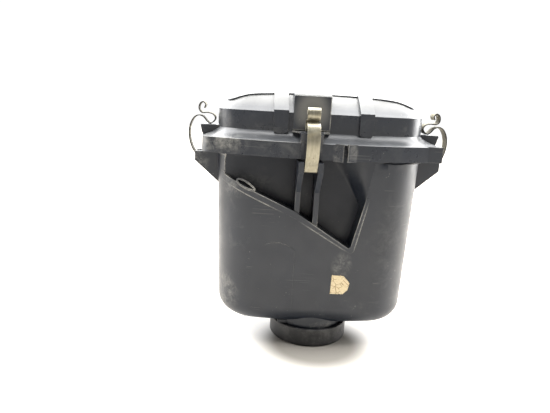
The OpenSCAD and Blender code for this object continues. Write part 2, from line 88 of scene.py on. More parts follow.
CATCH_REACH = 2.9
SKIRT_HW = lid_high.x - CATCH_REACH
SKIRT = (SKIRT_HW, 33, 9, 24)
SKIRT_Z = lid_low.z
SKIRT_TOP = 188.3
LID = (94, 25, 20, 19)
LID_WALL = 2.4
WALL_FOOT = 195.7
CREASE = 212
DOME_RISE = 17.2
DOME_REACH = 52
BROW = (0.55, 10, 8)
RELIEF = 1.8
PANEL_RELIEF = 1.0
CLAMP_Z = 188
BANDS = (-38, 36)
BAND_W = 12.6

# On the clips and their brackets, U is a distance outward from the skirt.
CLIP_X = -12
STRIP_W = 10.8
STRIP_T = 0.9
BAR_U = 4.6
BAR_Z = 166.4
BAR_R = 1.6
EYE_R = BAR_R + 0.05
PLATE_GAP = 12
PLATE_T = 4.5
PLATE_U = 7.8
PLATE_TOP = 173
PLATE_LOW = BAR_Z - 2.6
PLATE_FOOT = 144.5
CATCH_Z = 197
CATCH_W = 19
SIDE_CATCH_W = 26
PAD_U = -10.6
PAD_W = 31.5
PAD_TOP = 229
SLOT = (17, 3.6)

DUCT_X = 48
DUCT_HW = 33
DUCT_Z = 198
DUCT_H = 27
DUCT_END = MID_Y + 62
DUCT_WALL = 2.4

SPIGOT_X = elbow_middle[0]
SPIGOT_Z = 120
SPIGOT_R = 8
SPIGOT_SIDES = 48
DRAIN = (52, MID_Y + 12)
EARS = (-58, 58)
EAR_Y = MID_Y + 60
EAR_R = 14
EAR_Z = 62
EAR_T = 5


# ---------------- plane outlines


def arc(cx, cy, r, start, end, n):
    """Points along an arc, angles in degrees."""
    a = np.radians(np.linspace(start, end, n + 1))
    return np.stack([cx + r * np.cos(a), cy + r * np.sin(a)], 1)


def circle(cx, cy, r, n):
    """A closed circle of n points."""
    return arc(cx, cy, r, 0, 360 * (n - 1) / n, n - 1)


def outline(hw, hd, r, bow):
    """A rounded rectangle round (0, MID_Y) whose front and back bulge by bow."""
    corner_n, edge_n, side_n = 12, 40, 8
    edge = (hw - r) * (1 - 2 * np.arange(1, edge_n) / edge_n)
    side = (hd - r) * (1 - 2 * np.arange(1, side_n) / side_n)
    corners = []
    for q, (sx, sy) in enumerate([(1, 1), (-1, 1), (-1, -1), (1, -1)]):
        corners.append(arc(sx * (hw - r), sy * (hd - r), r, 90 * q, 90 * q + 90, corner_n))
    flat = np.vstack([
        corners[0], np.stack([edge, np.full_like(edge, hd)], 1),
        corners[1], np.stack([np.full_like(side, -hw), side], 1),
        corners[2], np.stack([-edge, np.full_like(edge, -hd)], 1),
        corners[3], np.stack([np.full_like(side, hw), -side], 1),
    ])
    bulge = bow * (1 - (flat[:, 0] / hw) ** 2)
    flat[:, 1] += MID_Y + np.sign(flat[:, 1]) * bulge
    return flat


def ring(shape, z, tx=1.0, ty=1.0):
    """An outline at height z, scaled by tx and ty about the middle of the case."""
    p = outline(*shape)
    return np.column_stack([p[:, 0] * tx, MID_Y + (p[:, 1] - MID_Y) * ty, np.full(len(p), z)])


def blend_shape(a, b, t):
    """The outline sizes a share t of the way from a to b."""
    return tuple(x + (y - x) * t for x, y in zip(a, b))


def shrink(shape, inset):
    """The outline sizes moved inward by inset."""
    hw, hd, r, bow = shape
    return (hw - inset, hd - inset, max(r - inset, 1.5), bow)


def rounded(points, radius, n):
    """A closed polygon with its corners rounded. radius is one number or one for each corner."""
    pts = [np.array(p, float) for p in points]
    count = len(pts)
    radii = [radius] * count if np.isscalar(radius) else list(radius)
    out = []
    for i, p in enumerate(pts):
        to_a, to_b = pts[i - 1] - p, pts[(i + 1) % count] - p
        la, lb = np.linalg.norm(to_a), np.linalg.norm(to_b)
        to_a, to_b = to_a / la, to_b / lb
        half = math.acos(max(-1, min(1, float(to_a @ to_b)))) / 2
        if radii[i] <= 0 or half > 1.5:
            out.append(p)
            continue
        back = min(radii[i] / math.tan(half), 0.45 * la, 0.45 * lb)
        r = back * math.tan(half)
        centre = p + (to_a + to_b) / np.linalg.norm(to_a + to_b) * r / math.sin(half)
        first, last = p + to_a * back - centre, p + to_b * back - centre
        for k in range(n + 1):
            mixed = first * (1 - k / n) + last * (k / n)
            out.append(centre + mixed / np.linalg.norm(mixed) * r)
    return np.array(out)


def rectangle(hw, hh, r, n=5):
    """A rounded rectangle round (0, 0), counter-clockwise."""
    return rounded([(-hw, -hh), (hw, -hh), (hw, hh), (-hw, hh)], r, n)


def smooth_line(points, n):
    """A Catmull-Rom curve through the points, with n steps between each pair."""
    p = np.array(points, float)
    ext = np.vstack([p[0], p, p[-1]])
    out = []
    for i in range(len(p) - 1):
        a, b, c, d = ext[i:i + 4]
        for t in np.arange(n) / n:
            out.append((2 * b + (c - a) * t + (2 * a - 5 * b + 4 * c - d) * t ** 2
                        + (3 * b - a - 3 * c + d) * t ** 3) / 2)
    return np.vstack([out, p[-1:]])


# ---------------- meshes


def make(name, verts, faces):
    """A mesh object from points in millimetres, with its faces turned outward."""
    mesh = bpy.data.meshes.new(name)
    mesh.from_pydata((np.asarray(verts, float) * MM).tolist(), [], [list(f) for f in faces])
    obj = bpy.data.objects.new(name, mesh)
    bpy.context.scene.collection.objects.link(obj)
    clean(obj)
    return obj


def clean(obj):
    """Welds doubled points and turns the faces outward."""
    bm = bmesh.new()
    bm.from_mesh(obj.data)
    bmesh.ops.remove_doubles(bm, verts=bm.verts, dist=1e-6)
    bmesh.ops.dissolve_degenerate(bm, edges=bm.edges, dist=1e-6)
    bmesh.ops.recalc_face_normals(bm, faces=bm.faces)
    bm.to_mesh(obj.data)
    bm.free()


def lofted(stations, closed=False):
    """Points and faces of a skin over loops of points. Closed joins the last loop to the first."""
    n, m = len(stations[0]), len(stations)
    verts = np.vstack(stations)
    faces = []
    for k in range(m if closed else m - 1):
        a, b = k * n, (k + 1) % m * n
        for i in range(n):
            j = (i + 1) % n
            faces.append((a + i, a + j, b + j, b + i))
    if not closed:
        faces.append(tuple(range(n - 1, -1, -1)))
        faces.append(tuple((m - 1) * n + i for i in range(n)))
    return verts, faces


def loft(name, stations, closed=False):
    """An object from a skin over loops of points."""
    return make(name, *lofted(stations, closed))


def prism(name, points, place, low, high):
    """A polygon extruded from low to high. place turns (a, b, height) into a point of the part."""
    return loft(name, [np.array([place(a, b, h) for a, b in points]) for h in (low, high)])


def on_plan(a, b, h):
    """The place of a prism that stands upright."""
    return a, b, h


def block(name, x, y, z):
    """A box from three (low, high) ranges."""
    corners = [(x[0], y[0]), (x[1], y[0]), (x[1], y[1]), (x[0], y[1])]
    return prism(name, corners, on_plan, *z)


def lathe(name, profile, n, centre=(0, 0), capped=False):
    """A (radius, height) profile turned about an upright axis. Capped closes it on the axis."""
    a = np.linspace(0, 2 * math.pi, n, endpoint=False)
    loops = [np.column_stack([r * np.cos(a), r * np.sin(a), np.full(n, z)]) for r, z in profile]
    verts, faces = lofted(loops, closed=not capped)
    return make(name, verts + [*centre, 0], faces)


def tube(path, r, n):
    """Points and faces of a round wire along a 3-D path, capped at its ends."""
    p = np.asarray(path, float)
    run = np.gradient(p, axis=0)
    run /= np.linalg.norm(run, axis=1)[:, None]
    up = np.array([0.31, 0.17, 0.93])
    loops = []
    for point, t in zip(p, run):
        side = np.cross(t, up)
        side /= np.linalg.norm(side)
        over = np.cross(side, t)
        a = np.linspace(0, 2 * math.pi, n, endpoint=False)[:, None]
        loops.append(point + r * (np.cos(a) * side + np.sin(a) * over))
    return lofted(loops)


def gather(name, parts):
    """One object from several lots of points and faces."""
    verts, faces, base = [], [], 0
    for v, f in parts:
        verts.append(v)
        faces.extend(tuple(i + base for i in face) for face in f)
        base += len(v)
    return make(name, np.vstack(verts), faces)


def ribbon(name, line, width, thick, place, closed=False, edge=0.22):
    """A flat strip with rounded edges that follows a plane line. place takes (a, b, across)."""
    p = np.asarray(line, float)
    run = (np.roll(p, -1, 0) - np.roll(p, 1, 0)) if closed else np.gradient(p, axis=0)
    run /= np.linalg.norm(run, axis=1)[:, None]
    side = np.stack([-run[:, 1], run[:, 0]], 1)
    section = rectangle(width / 2, thick / 2, min(edge, thick * 0.45), 3)
    loops = [np.array([place(*(q + b * s), a) for a, b in section]) for q, s in zip(p, side)]
    return loft(name, loops, closed)


def bake(obj):
    """Applies an object's modifiers."""
    graph = bpy.context.evaluated_depsgraph_get()
    mesh = bpy.data.meshes.new_from_object(obj.evaluated_get(graph))
    obj.modifiers.clear()
    obj.data = mesh
    return obj


def combine(base, others, operation):
    """Joins other solids to base, or cuts them from it, and removes them."""
    for other in others:
        modifier = base.modifiers.new("combine", "BOOLEAN")
        modifier.operation = operation
        modifier.solver = "EXACT"
        modifier.object = other
    bake(base)
    for other in others:
        bpy.data.objects.remove(other)
    clean(base)
    return base


def soften(obj, width):
    """Rounds the sharp edges, as a mould leaves them."""
    obj.data.shade_smooth()
    modifier = obj.modifiers.new("soften", "BEVEL")
    modifier.width = width * MM
    modifier.segments = 2
    modifier.limit_method = "ANGLE"
    modifier.angle_limit = math.radians(32)
    modifier.harden_normals = True
    modifier.miter_outer = "MITER_ARC"
    return bake(obj)


def shade(obj, angle=40):
    """Smooth shading that stays sharp over edges above the angle."""
    obj.data.shade_smooth()
    bm = bmesh.new()
    bm.from_mesh(obj.data)
    limit = math.radians(angle)
    for e in bm.edges:
        e.smooth = e.calc_face_angle(math.pi) < limit
    bm.to_mesh(obj.data)
    bm.free()
    modifier = obj.modifiers.new("even", "WEIGHTED_NORMAL")
    modifier.keep_sharp = True
    return bake(obj)


def piece(obj, body, slot, node):
    """Puts a finished mesh on its body, in place of its CAD node."""
    obj.data.materials.clear()
    obj.data.materials.append(MATERIALS[slot])
    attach(obj, body)
    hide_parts(node)


def beside_skirt(side):
    """A function from (outward, height, along) beside one side of the skirt to the part's frame."""
    deep = SKIRT[1] + SKIRT[3] * (1 - (CLIP_X / SKIRT[0]) ** 2)
    s = -1 if side in ("front", "left") else 1
    if side in ("front", "rear"):
        return lambda u, z, v: (CLIP_X - s * v, MID_Y + s * deep + s * u, z)
    return lambda u, z, v: (s * SKIRT[0] + s * u, MID_Y + s * v, z)


# ---------------- case


def case_shape(z, inset):
    """Outline sizes of the case at height z, moved inward by inset."""
    grow = DRAFT * (z - FLOOR_Z) / (RIM_Z - FLOOR_Z)
    hw, hd, r, bow = CASE
    return (hw + grow - inset, hd + 0.45 * grow - inset, r - inset, bow)


def case_rings(z0, inset, r, n):
    """Rings round the floor radius, from the floor up."""
    rings = []
    for a in np.radians(np.linspace(0, 90, n + 1)):
        z = z0 + r * (1 - math.cos(a))
        rings.append(ring(case_shape(z, inset + r * (1 - math.sin(a))), z))
    return rings


def recess_outline(grow):
    """The skewed V of the front recess, as (x, z)."""
    top = RIM_Z + 0.6
    sharp = [(-84 - grow, top + grow), (-87 - grow, 156 - grow), (-22, 127.5 - 1.1 * grow),
             (29 + grow, 95 - 1.6 * grow), (40 + grow, 142), (46 + grow, top + grow)]
    return rounded(sharp, [0, 3.5, 0, 2, 30, 0], 5)


def front_prism(name, points, y_back, y_front):
    """An (x, z) polygon extruded through the front wall."""
    return prism(name, points, lambda a, b, h: (a, h, b), y_back, y_front)


def wall_y(x, z):
    """The y of the case's front wall at x and z."""
    hw, hd, _, bow = case_shape(min(z, RIM_Z - RIM_FILLET), 0)
    return MID_Y - hd - bow * (1 - (x / hw) ** 2)


def skin_patch(name, points, proud):
    """A shallow raised area of the case's front wall. proud is a height, or a function of x."""
    loops = []
    for z in np.linspace(FLOOR_Z + FLOOR_R, RIM_Z - 1, 24):
        loop = ring(case_shape(z, 0), z)
        front = loop[:, 1] < MID_Y
        loop[front, 1] -= [proud(x) if callable(proud) else proud for x in loop[front, 0]]
        loops.append(loop)
    skin = loft(name, loops)
    return combine(skin, [front_prism("patch", points, MID_Y - 22, MID_Y - 80)], "INTERSECT")


def recess_ramp():
    """The curve at the upper right of the recess, where it runs out into the front wall."""
    foot, top = 131, 178.3
    loops = []
    for z in np.linspace(foot, top, 30):
        up = (z - foot) / (top - foot)
        end = 38.4 + 0.19 * (z - foot)
        start = end - 0.6 - 42 * up ** 1.1
        rise = []
        for t in np.linspace(0, 1, 19):
            x = start + (end - start) * t
            smooth = t * t * (3 - 2 * t)
            rise.append((x, RECESS_Y + 0.02 + (wall_y(x, z) + 0.04 - RECESS_Y) * smooth, z))
        x = end + 6
        behind = RECESS_Y + 1.2
        loops.append(np.array([(x, behind, z), (x, wall_y(x, z) + 0.3, z), *rise[::-1],
                               (start, behind, z)]))
    return loft("ramp", loops)


def slot_loop():
    """The thin raised loop of an unused strap slot on the recess's left ledge."""
    slope = math.radians(-27)
    middle, long, short = (-65.6, 148.6), 8.6, 2.6
    a = np.linspace(0, 2 * math.pi, 40, endpoint=False)
    swell = 1 - 0.25 * np.cos(a)
    flat = np.stack([long * np.cos(a), short * np.sin(a) * swell], 1)
    turn = np.array([[math.cos(slope), -math.sin(slope)], [math.sin(slope), math.cos(slope)]])
    line = flat @ turn.T + middle
    return ribbon("loop", line, 0.7, 1.6, lambda x, z, h: (x, wall_y(x, z) - 0.35 + h, z), True, 0.2)


def bar_and_plates(side):
    """A clip bracket: two gusset plates and the moulded bar between them."""
    place = beside_skirt(side)
    made = []
    for s in (-1, 1):
        if side == "front":
            wall, root, low = -8.6, -8.8 - 19, 112 if s > 0 else 124
            foot = [(wall, PLATE_FOOT), (wall, low), (root, low - 4)]
        else:
            wall = -7 if side == "rear" else -14.2
            root = wall - 1
            foot = [(wall, PLATE_FOOT), (root, PLATE_FOOT - 1)]
        points = [(root, PLATE_TOP), (PLATE_U, PLATE_TOP - 1), (PLATE_U, PLATE_LOW)] + foot
        middle = s * (PLATE_GAP + PLATE_T) / 2
        made.append(prism("plate", points, place, middle - PLATE_T / 2, middle + PLATE_T / 2))
    half = PLATE_GAP / 2 + 0.4
    made.append(prism("bar", circle(BAR_U, BAR_Z, BAR_R, 32), place, -half, half))
    return made


def mounting_ear(x):
    """A horizontal ear with a round end, and its two webs."""
    root = MID_Y + CASE[1] + 2
    end = EAR_Y + EAR_R
    plate = rounded([(x - EAR_R, root), (x + EAR_R, root), (x + EAR_R, end), (x - EAR_R, end)],
                    [0, 0, EAR_R, EAR_R], 16)
    made = [prism("ear", plate, on_plan, EAR_Z, EAR_Z + EAR_T)]
    web = [(root, EAR_Z - 11), (root + 11, EAR_Z + 0.2), (root, EAR_Z + 0.2)]
    for edge in (x - EAR_R + 1.5, x + EAR_R - 1.5):
        made.append(prism("web", web, lambda a, b, h: (h, a, b), edge - 1.5, edge + 1.5))
    return made


def upright(name, x, y, r, z0, z1, n=64):
    """An upright cylinder."""
    return prism(name, circle(x, y, r, n), on_plan, z0, z1)


def build_case():
    """The moulded case with its recess, brackets, ears, neck and spigot."""
    rim = shrink(SKIRT, 3.2)
    heights = np.linspace(FLOOR_Z + FLOOR_R, RIM_Z - RIM_FILLET, 26)[1:]
    wall = [ring(case_shape(z, 0), z) for z in heights]
    outer = loft("case_shell", case_rings(FLOOR_Z, 0, FLOOR_R, 14) + wall
                 + [ring(rim, RIM_Z), ring(rim, RIM_TOP)])
    blister = np.vstack([[(-20, 38)], arc(-36, 76, 22.5, 45, 135, 24), [(-58, 38)]])
    lip = rounded([(-88.6, 158), (-88.6, 150.5), (-22, 121.5), (29.5, 91), (32.6, 93), (43, 141),
                   (38, 141), (29, 100), (-22, 130)], [0, 3, 0, 2, 2, 0, 0, 0, 0], 4)
    combine(outer, [skin_patch("blister", blister, lambda x: 0.4 * (x + 52) / 32),
                    skin_patch("lip", lip, 0.55)], "UNION")
    cavity = loft("cavity", case_rings(FLOOR_Z + WALL, WALL, FLOOR_R - WALL, 10)
                  + [ring(case_shape(RIM_TOP + 1, WALL), RIM_TOP + 1)])
    backing = front_prism("backing", recess_outline(WALL), RECESS_Y + WALL, RECESS_Y - 60)
    combine(cavity, [backing], "DIFFERENCE")
    recess = front_prism("recess", recess_outline(0), RECESS_Y, RECESS_Y - 60)
    combine(outer, [cavity, recess], "DIFFERENCE")

    rear = MID_Y + CASE[1] + CASE[3]
    spigot = circle(SPIGOT_X, SPIGOT_Z, SPIGOT_R, SPIGOT_SIDES)
    spigot_bead = circle(SPIGOT_X, SPIGOT_Z, SPIGOT_R + 0.7, SPIGOT_SIDES)
    breather = circle(SPIGOT_X, SPIGOT_Z, 5.5, SPIGOT_SIDES)
    extras = [
        upright("neck", 0, 0, NECK_OUT, NECK_Z, NECK_TOP, 96),
        upright("boss", *DRAIN, 7, FLOOR_Z - 5, FLOOR_Z + WALL),
        front_prism("spigot", spigot, rear - 3, rear + 16),
        front_prism("bead", spigot_bead, rear + 13.4, rear + 15.4),
        block("lug", (-31, -22), (-24, -19), (17.5, FLOOR_Z + 1)),
        recess_ramp(), slot_loop(),
    ]
    for x in EARS:
        extras += mounting_ear(x)
    rib_y, rib_z = (MID_Y - 26, MID_Y + 26), (FLOOR_Z - 1.4, FLOOR_Z + 0.4)
    for x in (-62, -40, 40):
        extras.append(block("rib", (x - 0.9, x + 0.9), rib_y, rib_z))
    combine(outer, extras, "UNION")
    cuts = [
        upright("bore", 0, 0, NECK_R, NECK_Z - 1, NECK_TOP + 1, 96),
        upright("drain", *DRAIN, 4.6, FLOOR_Z - 6, FLOOR_Z + WALL + 2),
        front_prism("breather", breather, rear - 12, rear + 20),
    ]
    for x in EARS:
        cuts.append(upright("eye", x, EAR_Y, 8, EAR_Z - 1, EAR_Z + EAR_T + 1))
    combine(outer, cuts, "DIFFERENCE")
    brackets = []
    for side in ("left", "right", "rear", "front"):
        brackets += bar_and_plates(side)
    combine(outer, brackets, "UNION")
    return shade(soften(outer, 0.45))


# ---------------- lid


def dome(d):
    """Height of the dome above the crease, a distance d in from the wall."""
    return DOME_RISE * (1 - (1 - min(d, DOME_REACH) / DOME_REACH) ** 4)


DOME_INSETS = [0, 0.7, 1.6, 3, 5, 7.5, 10.5, 14, 18, 22.5, 27.5, 33, 39, 45, DOME_REACH]


def lid_rings(grow):
    """Rings of the dome, grown outward, from the wall inward. Its front slopes more gently."""
    hw, hd, r, bow = LID
    taper, brow, reach = BROW
    rings = []
    for d in DOME_INSETS:
        front = taper * d + brow * (1 - math.exp(-d / reach))
        rings.append(ring((hw + grow, hd + grow, r + grow, bow), CREASE + dome(d) + grow,
                          1 - d / hw, 1 - front / (hd + bow)))
    return rings


def raised(grow, foot, cutter):
    """The part of the lid above the height foot, grown outward, that lies inside the cutter."""
    hw, hd, r, bow = LID
    bell = loft("bell", [ring((hw + grow, hd + grow, r + grow, bow), foot)] + lid_rings(grow))
    return combine(bell, [cutter], "INTERSECT")


def build_lid():
    """The domed lid with its skirt, bands, raised panel, pads, catches and inlet duct."""
    low_skirt = blend_shape(SKIRT, shrink(SKIRT, 1), 0.3)
    top_skirt = (SKIRT[0] - 1, SKIRT[1] - 1, SKIRT[2] - 0.7, SKIRT[3])
    flare = []
    for t in (0.2, 0.4, 0.58, 0.74, 0.87, 0.95, 1.0):
        rise = 0.62 * t + 0.38 * t ** 5
        flare.append(ring(blend_shape(top_skirt, LID, t), SKIRT_TOP + (WALL_FOOT - SKIRT_TOP) * rise))
    skirt = [ring(SKIRT, SKIRT_Z), ring(low_skirt, SKIRT_TOP - 0.5), ring(top_skirt, SKIRT_TOP)]
    outer = loft("lid_shell", skirt + flare + lid_rings(0))

    added = []
    for x in BANDS:
        half = BAND_W / 2
        strip = rounded([(x - half, 194), (x + half, 194), (x + half, 240), (x - half, 240)],
                        [4, 4, 0, 0], 6)
        added.append(raised(RELIEF, 192, front_prism("strip", strip, MID_Y - 60, MID_Y + 60)))
    panel = prism("panel", outline(86, 18, 9, 4), on_plan, 209, 240)
    added.append(raised(PANEL_RELIEF, 206, panel))
    for side in ("front", "rear", "left", "right"):
        place = beside_skirt(side)
        shelved = side in ("front", "rear")
        half = (CATCH_W if shelved else SIDE_CATCH_W) / 2
        top = CATCH_Z - 0.4 if shelved else CATCH_Z
        catch = [(-14, 190.5), (-14, top), (2.2, top), (CATCH_REACH, top - 1.1), (1.6, 190.5),
                 (0.4, 188), (-2, 187)]
        added.append(prism("catch", catch, place, -half, half))
        for s in (-1, 1):
            rib = [(-2, SKIRT_Z + 0.3), (1.3, SKIRT_Z + 0.3), (0.4, 182), (1.4, 189.5), (-2, 190.5)]
            middle = s * (STRIP_W / 2 + 2)
            added.append(prism("rib", rib, place, middle - 1.2, middle + 1.2))
        if shelved:
            wide = PAD_W / 2
            shelf = [(-14, -wide), (PAD_U, -wide), (-8, -11), (2.2, -9.5), (2.2, 9.5), (-8, 11),
                     (PAD_U, wide), (-14, wide)]
            added.append(prism("shelf", shelf, lambda a, b, h: place(a, h, b), CATCH_Z - 1.4, CATCH_Z))
            pad = [(-40, 198), (PAD_U, 198), (PAD_U, PAD_TOP - 2.6), (PAD_U - 1.4, PAD_TOP - 1.2),
                   (-26, PAD_TOP), (-40, PAD_TOP)]
            added.append(prism("pad", pad, place, -wide, wide))
    (slot_x, slot), reach = SLOT, 8
    front_y = MID_Y - SKIRT[1] - SKIRT[3] * (1 - (slot_x / SKIRT[0]) ** 2)
    for s in (-1, 1):
        near, far = slot_x + s * slot / 2, slot_x + s * (slot / 2 + reach)
        wedge = [(near, front_y + 1.5), (near, front_y - 2), (far, front_y + 0.6),
                 (far, front_y + 1.5)]
        added.append(prism("wedge", wedge, on_plan, SKIRT_Z - 1, SKIRT_TOP))
    added.append(block("lug", (84, SKIRT[0] - 0.4), (MID_Y - 38, MID_Y - 18), (SKIRT_Z, SKIRT_TOP)))
    duct_z = DUCT_Z + DUCT_H / 2
    duct = rectangle(DUCT_HW, DUCT_H / 2, 4) + [DUCT_X, duct_z]
    added.append(front_prism("duct", duct, MID_Y + 24, DUCT_END))
    combine(outer, added, "UNION")

    hollow_shape = shrink(SKIRT, 2.2)
    ceiling = (SKIRT[0] - 8, SKIRT[1] - 6, 5, SKIRT[3] - 2)
    low = [ring(hollow_shape, SKIRT_Z - 1), ring(hollow_shape, CLAMP_Z),
           ring(ceiling, CLAMP_Z + 0.01), ring(shrink(LID, LID_WALL), WALL_FOOT - 1)]
    hollow = loft("hollow", low + lid_rings(-LID_WALL))
    inner = rectangle(DUCT_HW - DUCT_WALL, DUCT_H / 2 - DUCT_WALL, 2.5) + [DUCT_X, duct_z]
    bore = front_prism("bore", inner, MID_Y + 18, DUCT_END + 5)
    cuts = [hollow, bore]
    for depth, top in ((2.6, RIM_TOP - 0.6), (1.4, SKIRT_TOP - 0.6)):
        cuts.append(block("slot", (slot_x - slot / 2, slot_x + slot / 2),
                          (front_y - 9, front_y + depth), (SKIRT_Z - 1, top)))
    combine(outer, cuts, "DIFFERENCE")
    return shade(soften(outer, 0.4))


# ---------------- clips

STRIP = [(6.8, 166.8), (8, 169.8), (11, 174.6), (13.4, 181.8), (14.2, 189.2), (13, 196.6),
         (9.8, 202.4), (5.4, 204.6), (1.2, 203.2), (-1.8, 199.8), (-4.6, 197.8), (-7.6, 199),
         (-9.6, 202.4), (-7.6, 205.9), (-2.8, 207.2), (2.6, 207), (5.4, 210.2),
         (4.9, 214.6), (2, 216.8), (-0.4, 214.6), (0.6, 211.2)]


def build_clip(side):
    """A spring strip rolled into an eye round its bar at one end and curled at the other."""
    eye = arc(BAR_U, BAR_Z, EYE_R + STRIP_T / 2, 52, 352, 40)
    line = np.vstack([eye, smooth_line(STRIP, 9)])
    return shade(ribbon(f"{side}_clip_spring", line, STRIP_W, STRIP_T, beside_skirt(side)))


# ---------------- materials


class Value:
    """A node's output. * multiplies, | takes the larger, + adds and - subtracts."""

    def __init__(self, nodes, socket):
        self.nodes, self.socket = nodes, socket

    def __mul__(self, other):
        return self.nodes.math("MULTIPLY", self, other)

    def __or__(self, other):
        return self.nodes.math("MAXIMUM", self, other)

    def __add__(self, other):
        return self.nodes.math("ADD", self, other)

    def __sub__(self, other):
        return self.nodes.math("SUBTRACT", self, other)


class Nodes:
    """A node tree, with short calls for the nodes that it needs."""

    def __init__(self, tree):
        self.tree = tree

    def node(self, kind, *values, **named):
        """A new node with its inputs filled in order, or by name."""
        n = self.tree.nodes.new("ShaderNode" + kind)
        self.fill(n, dict(enumerate(values)) | named)
        return n

    def fill(self, n, values):
        """Sets a node's inputs, or links values to them. An underscore stands for a space."""
        for key, value in values.items():
            socket = n.inputs[key.replace("_", " ") if isinstance(key, str) else key]
            if isinstance(value, Value):
                self.tree.links.new(value.socket, socket)
            else:
                socket.default_value = value

    def result(self, n, which=0):
        return Value(self, n.outputs[which])

    def math(self, operation, a, b, clamp=False):
        n = self.node("Math", a, b)
        n.operation, n.use_clamp = operation, clamp
        return self.result(n)

    def vector_math(self, operation, *vectors):
        """A number worked out from vectors."""
        n = self.node("VectorMath", *vectors)
        n.operation = operation
        return self.result(n, "Value")

    def span(self, value, low, high, to_low=0.0, to_high=1.0, kind="SMOOTHSTEP"):
        """The value mapped from low..high to to_low..to_high, held at the ends."""
        n = self.node("MapRange", value, low, high, to_low, to_high)
        n.interpolation_type = kind
        return self.result(n)


class Shader(Nodes):
    """A material with a surface shader."""

    def __init__(self, name):
        self.material = bpy.data.materials.new(name)
        self.material.use_nodes = True
        super().__init__(self.material.node_tree)
        self.tree.nodes.clear()
        self.surface = self.node("BsdfPrincipled")
        self.node("OutputMaterial", self.result(self.surface))
        self.point = self.result(self.node("TexCoord"), "Object")
        self.normal = self.result(self.node("NewGeometry"), "Normal")

    def set(self, **values):
        """Sets sockets of the surface shader."""
        self.fill(self.surface, values)

    def stretch(self, scale, turn=(0, 0, 0)):
        """The object's coordinates, scaled and turned."""
        turn = [math.radians(a) for a in turn]
        return self.result(self.node("Mapping", self.point, Scale=scale, Rotation=turn))

    def noise(self, scale, detail, rough=0.55, vector=None, distort=0.0):
        """A noise value; scale is in features for each metre."""
        n = self.node("TexNoise", Vector=vector or self.point, Scale=scale, Detail=detail,
                      Roughness=rough, Distortion=distort)
        return self.result(n, "Fac")

    def patches(self, low, high, *noise_settings, **more):
        """0 where a noise is below low, 1 where it is above high."""
        return self.span(self.noise(*noise_settings, **more), low, high)

    def cells(self, scale, feature="F1", vector=None):
        """Distance from the middles of random cells, or from their borders."""
        n = self.node("TexVoronoi", Vector=vector or self.point, Scale=scale)
        n.feature = feature
        return self.result(n, "Distance")

    def mix(self, share, a, b):
        """Colour a to colour b by share."""
        n = self.node("Mix", share)
        n.data_type = "RGBA"
        self.fill(n, {i: x if isinstance(x, Value) else (*x, 1) for i, x in ((6, a), (7, b))})
        return self.result(n, 2)

    def axis(self, which, vector=None):
        """One coordinate of the point, or of another vector."""
        return self.result(self.node("SeparateXYZ", vector or self.point), "XYZ".index(which))

    def spot(self, centre, size, soft=0.6):
        """1 inside an ellipsoid round centre, falling to 0 at its edge; sizes in millimetres."""
        n = self.node("Mapping", self.point, Scale=[1 / (s * MM) for s in size],
                      Location=[-c / s for c, s in zip(centre, size)])
        return self.span(self.vector_math("LENGTH", self.result(n)), 1 - soft, 1, 1, 0)

    def edges(self, radius, low=0.02, high=0.25):
        """1 on convex and concave edges tighter than the radius in millimetres."""
        n = self.node("Bevel", radius * MM)
        n.samples = 6
        along = self.vector_math("DOT_PRODUCT", self.result(n), self.normal)
        return self.span(self.math("SUBTRACT", 1.0, along), low, high)

    def bump(self, height, distance):
        """Bumps the surface by height times distance in millimetres."""
        self.set(Normal=self.result(self.node("Bump", Distance=distance * MM, Height=height)))


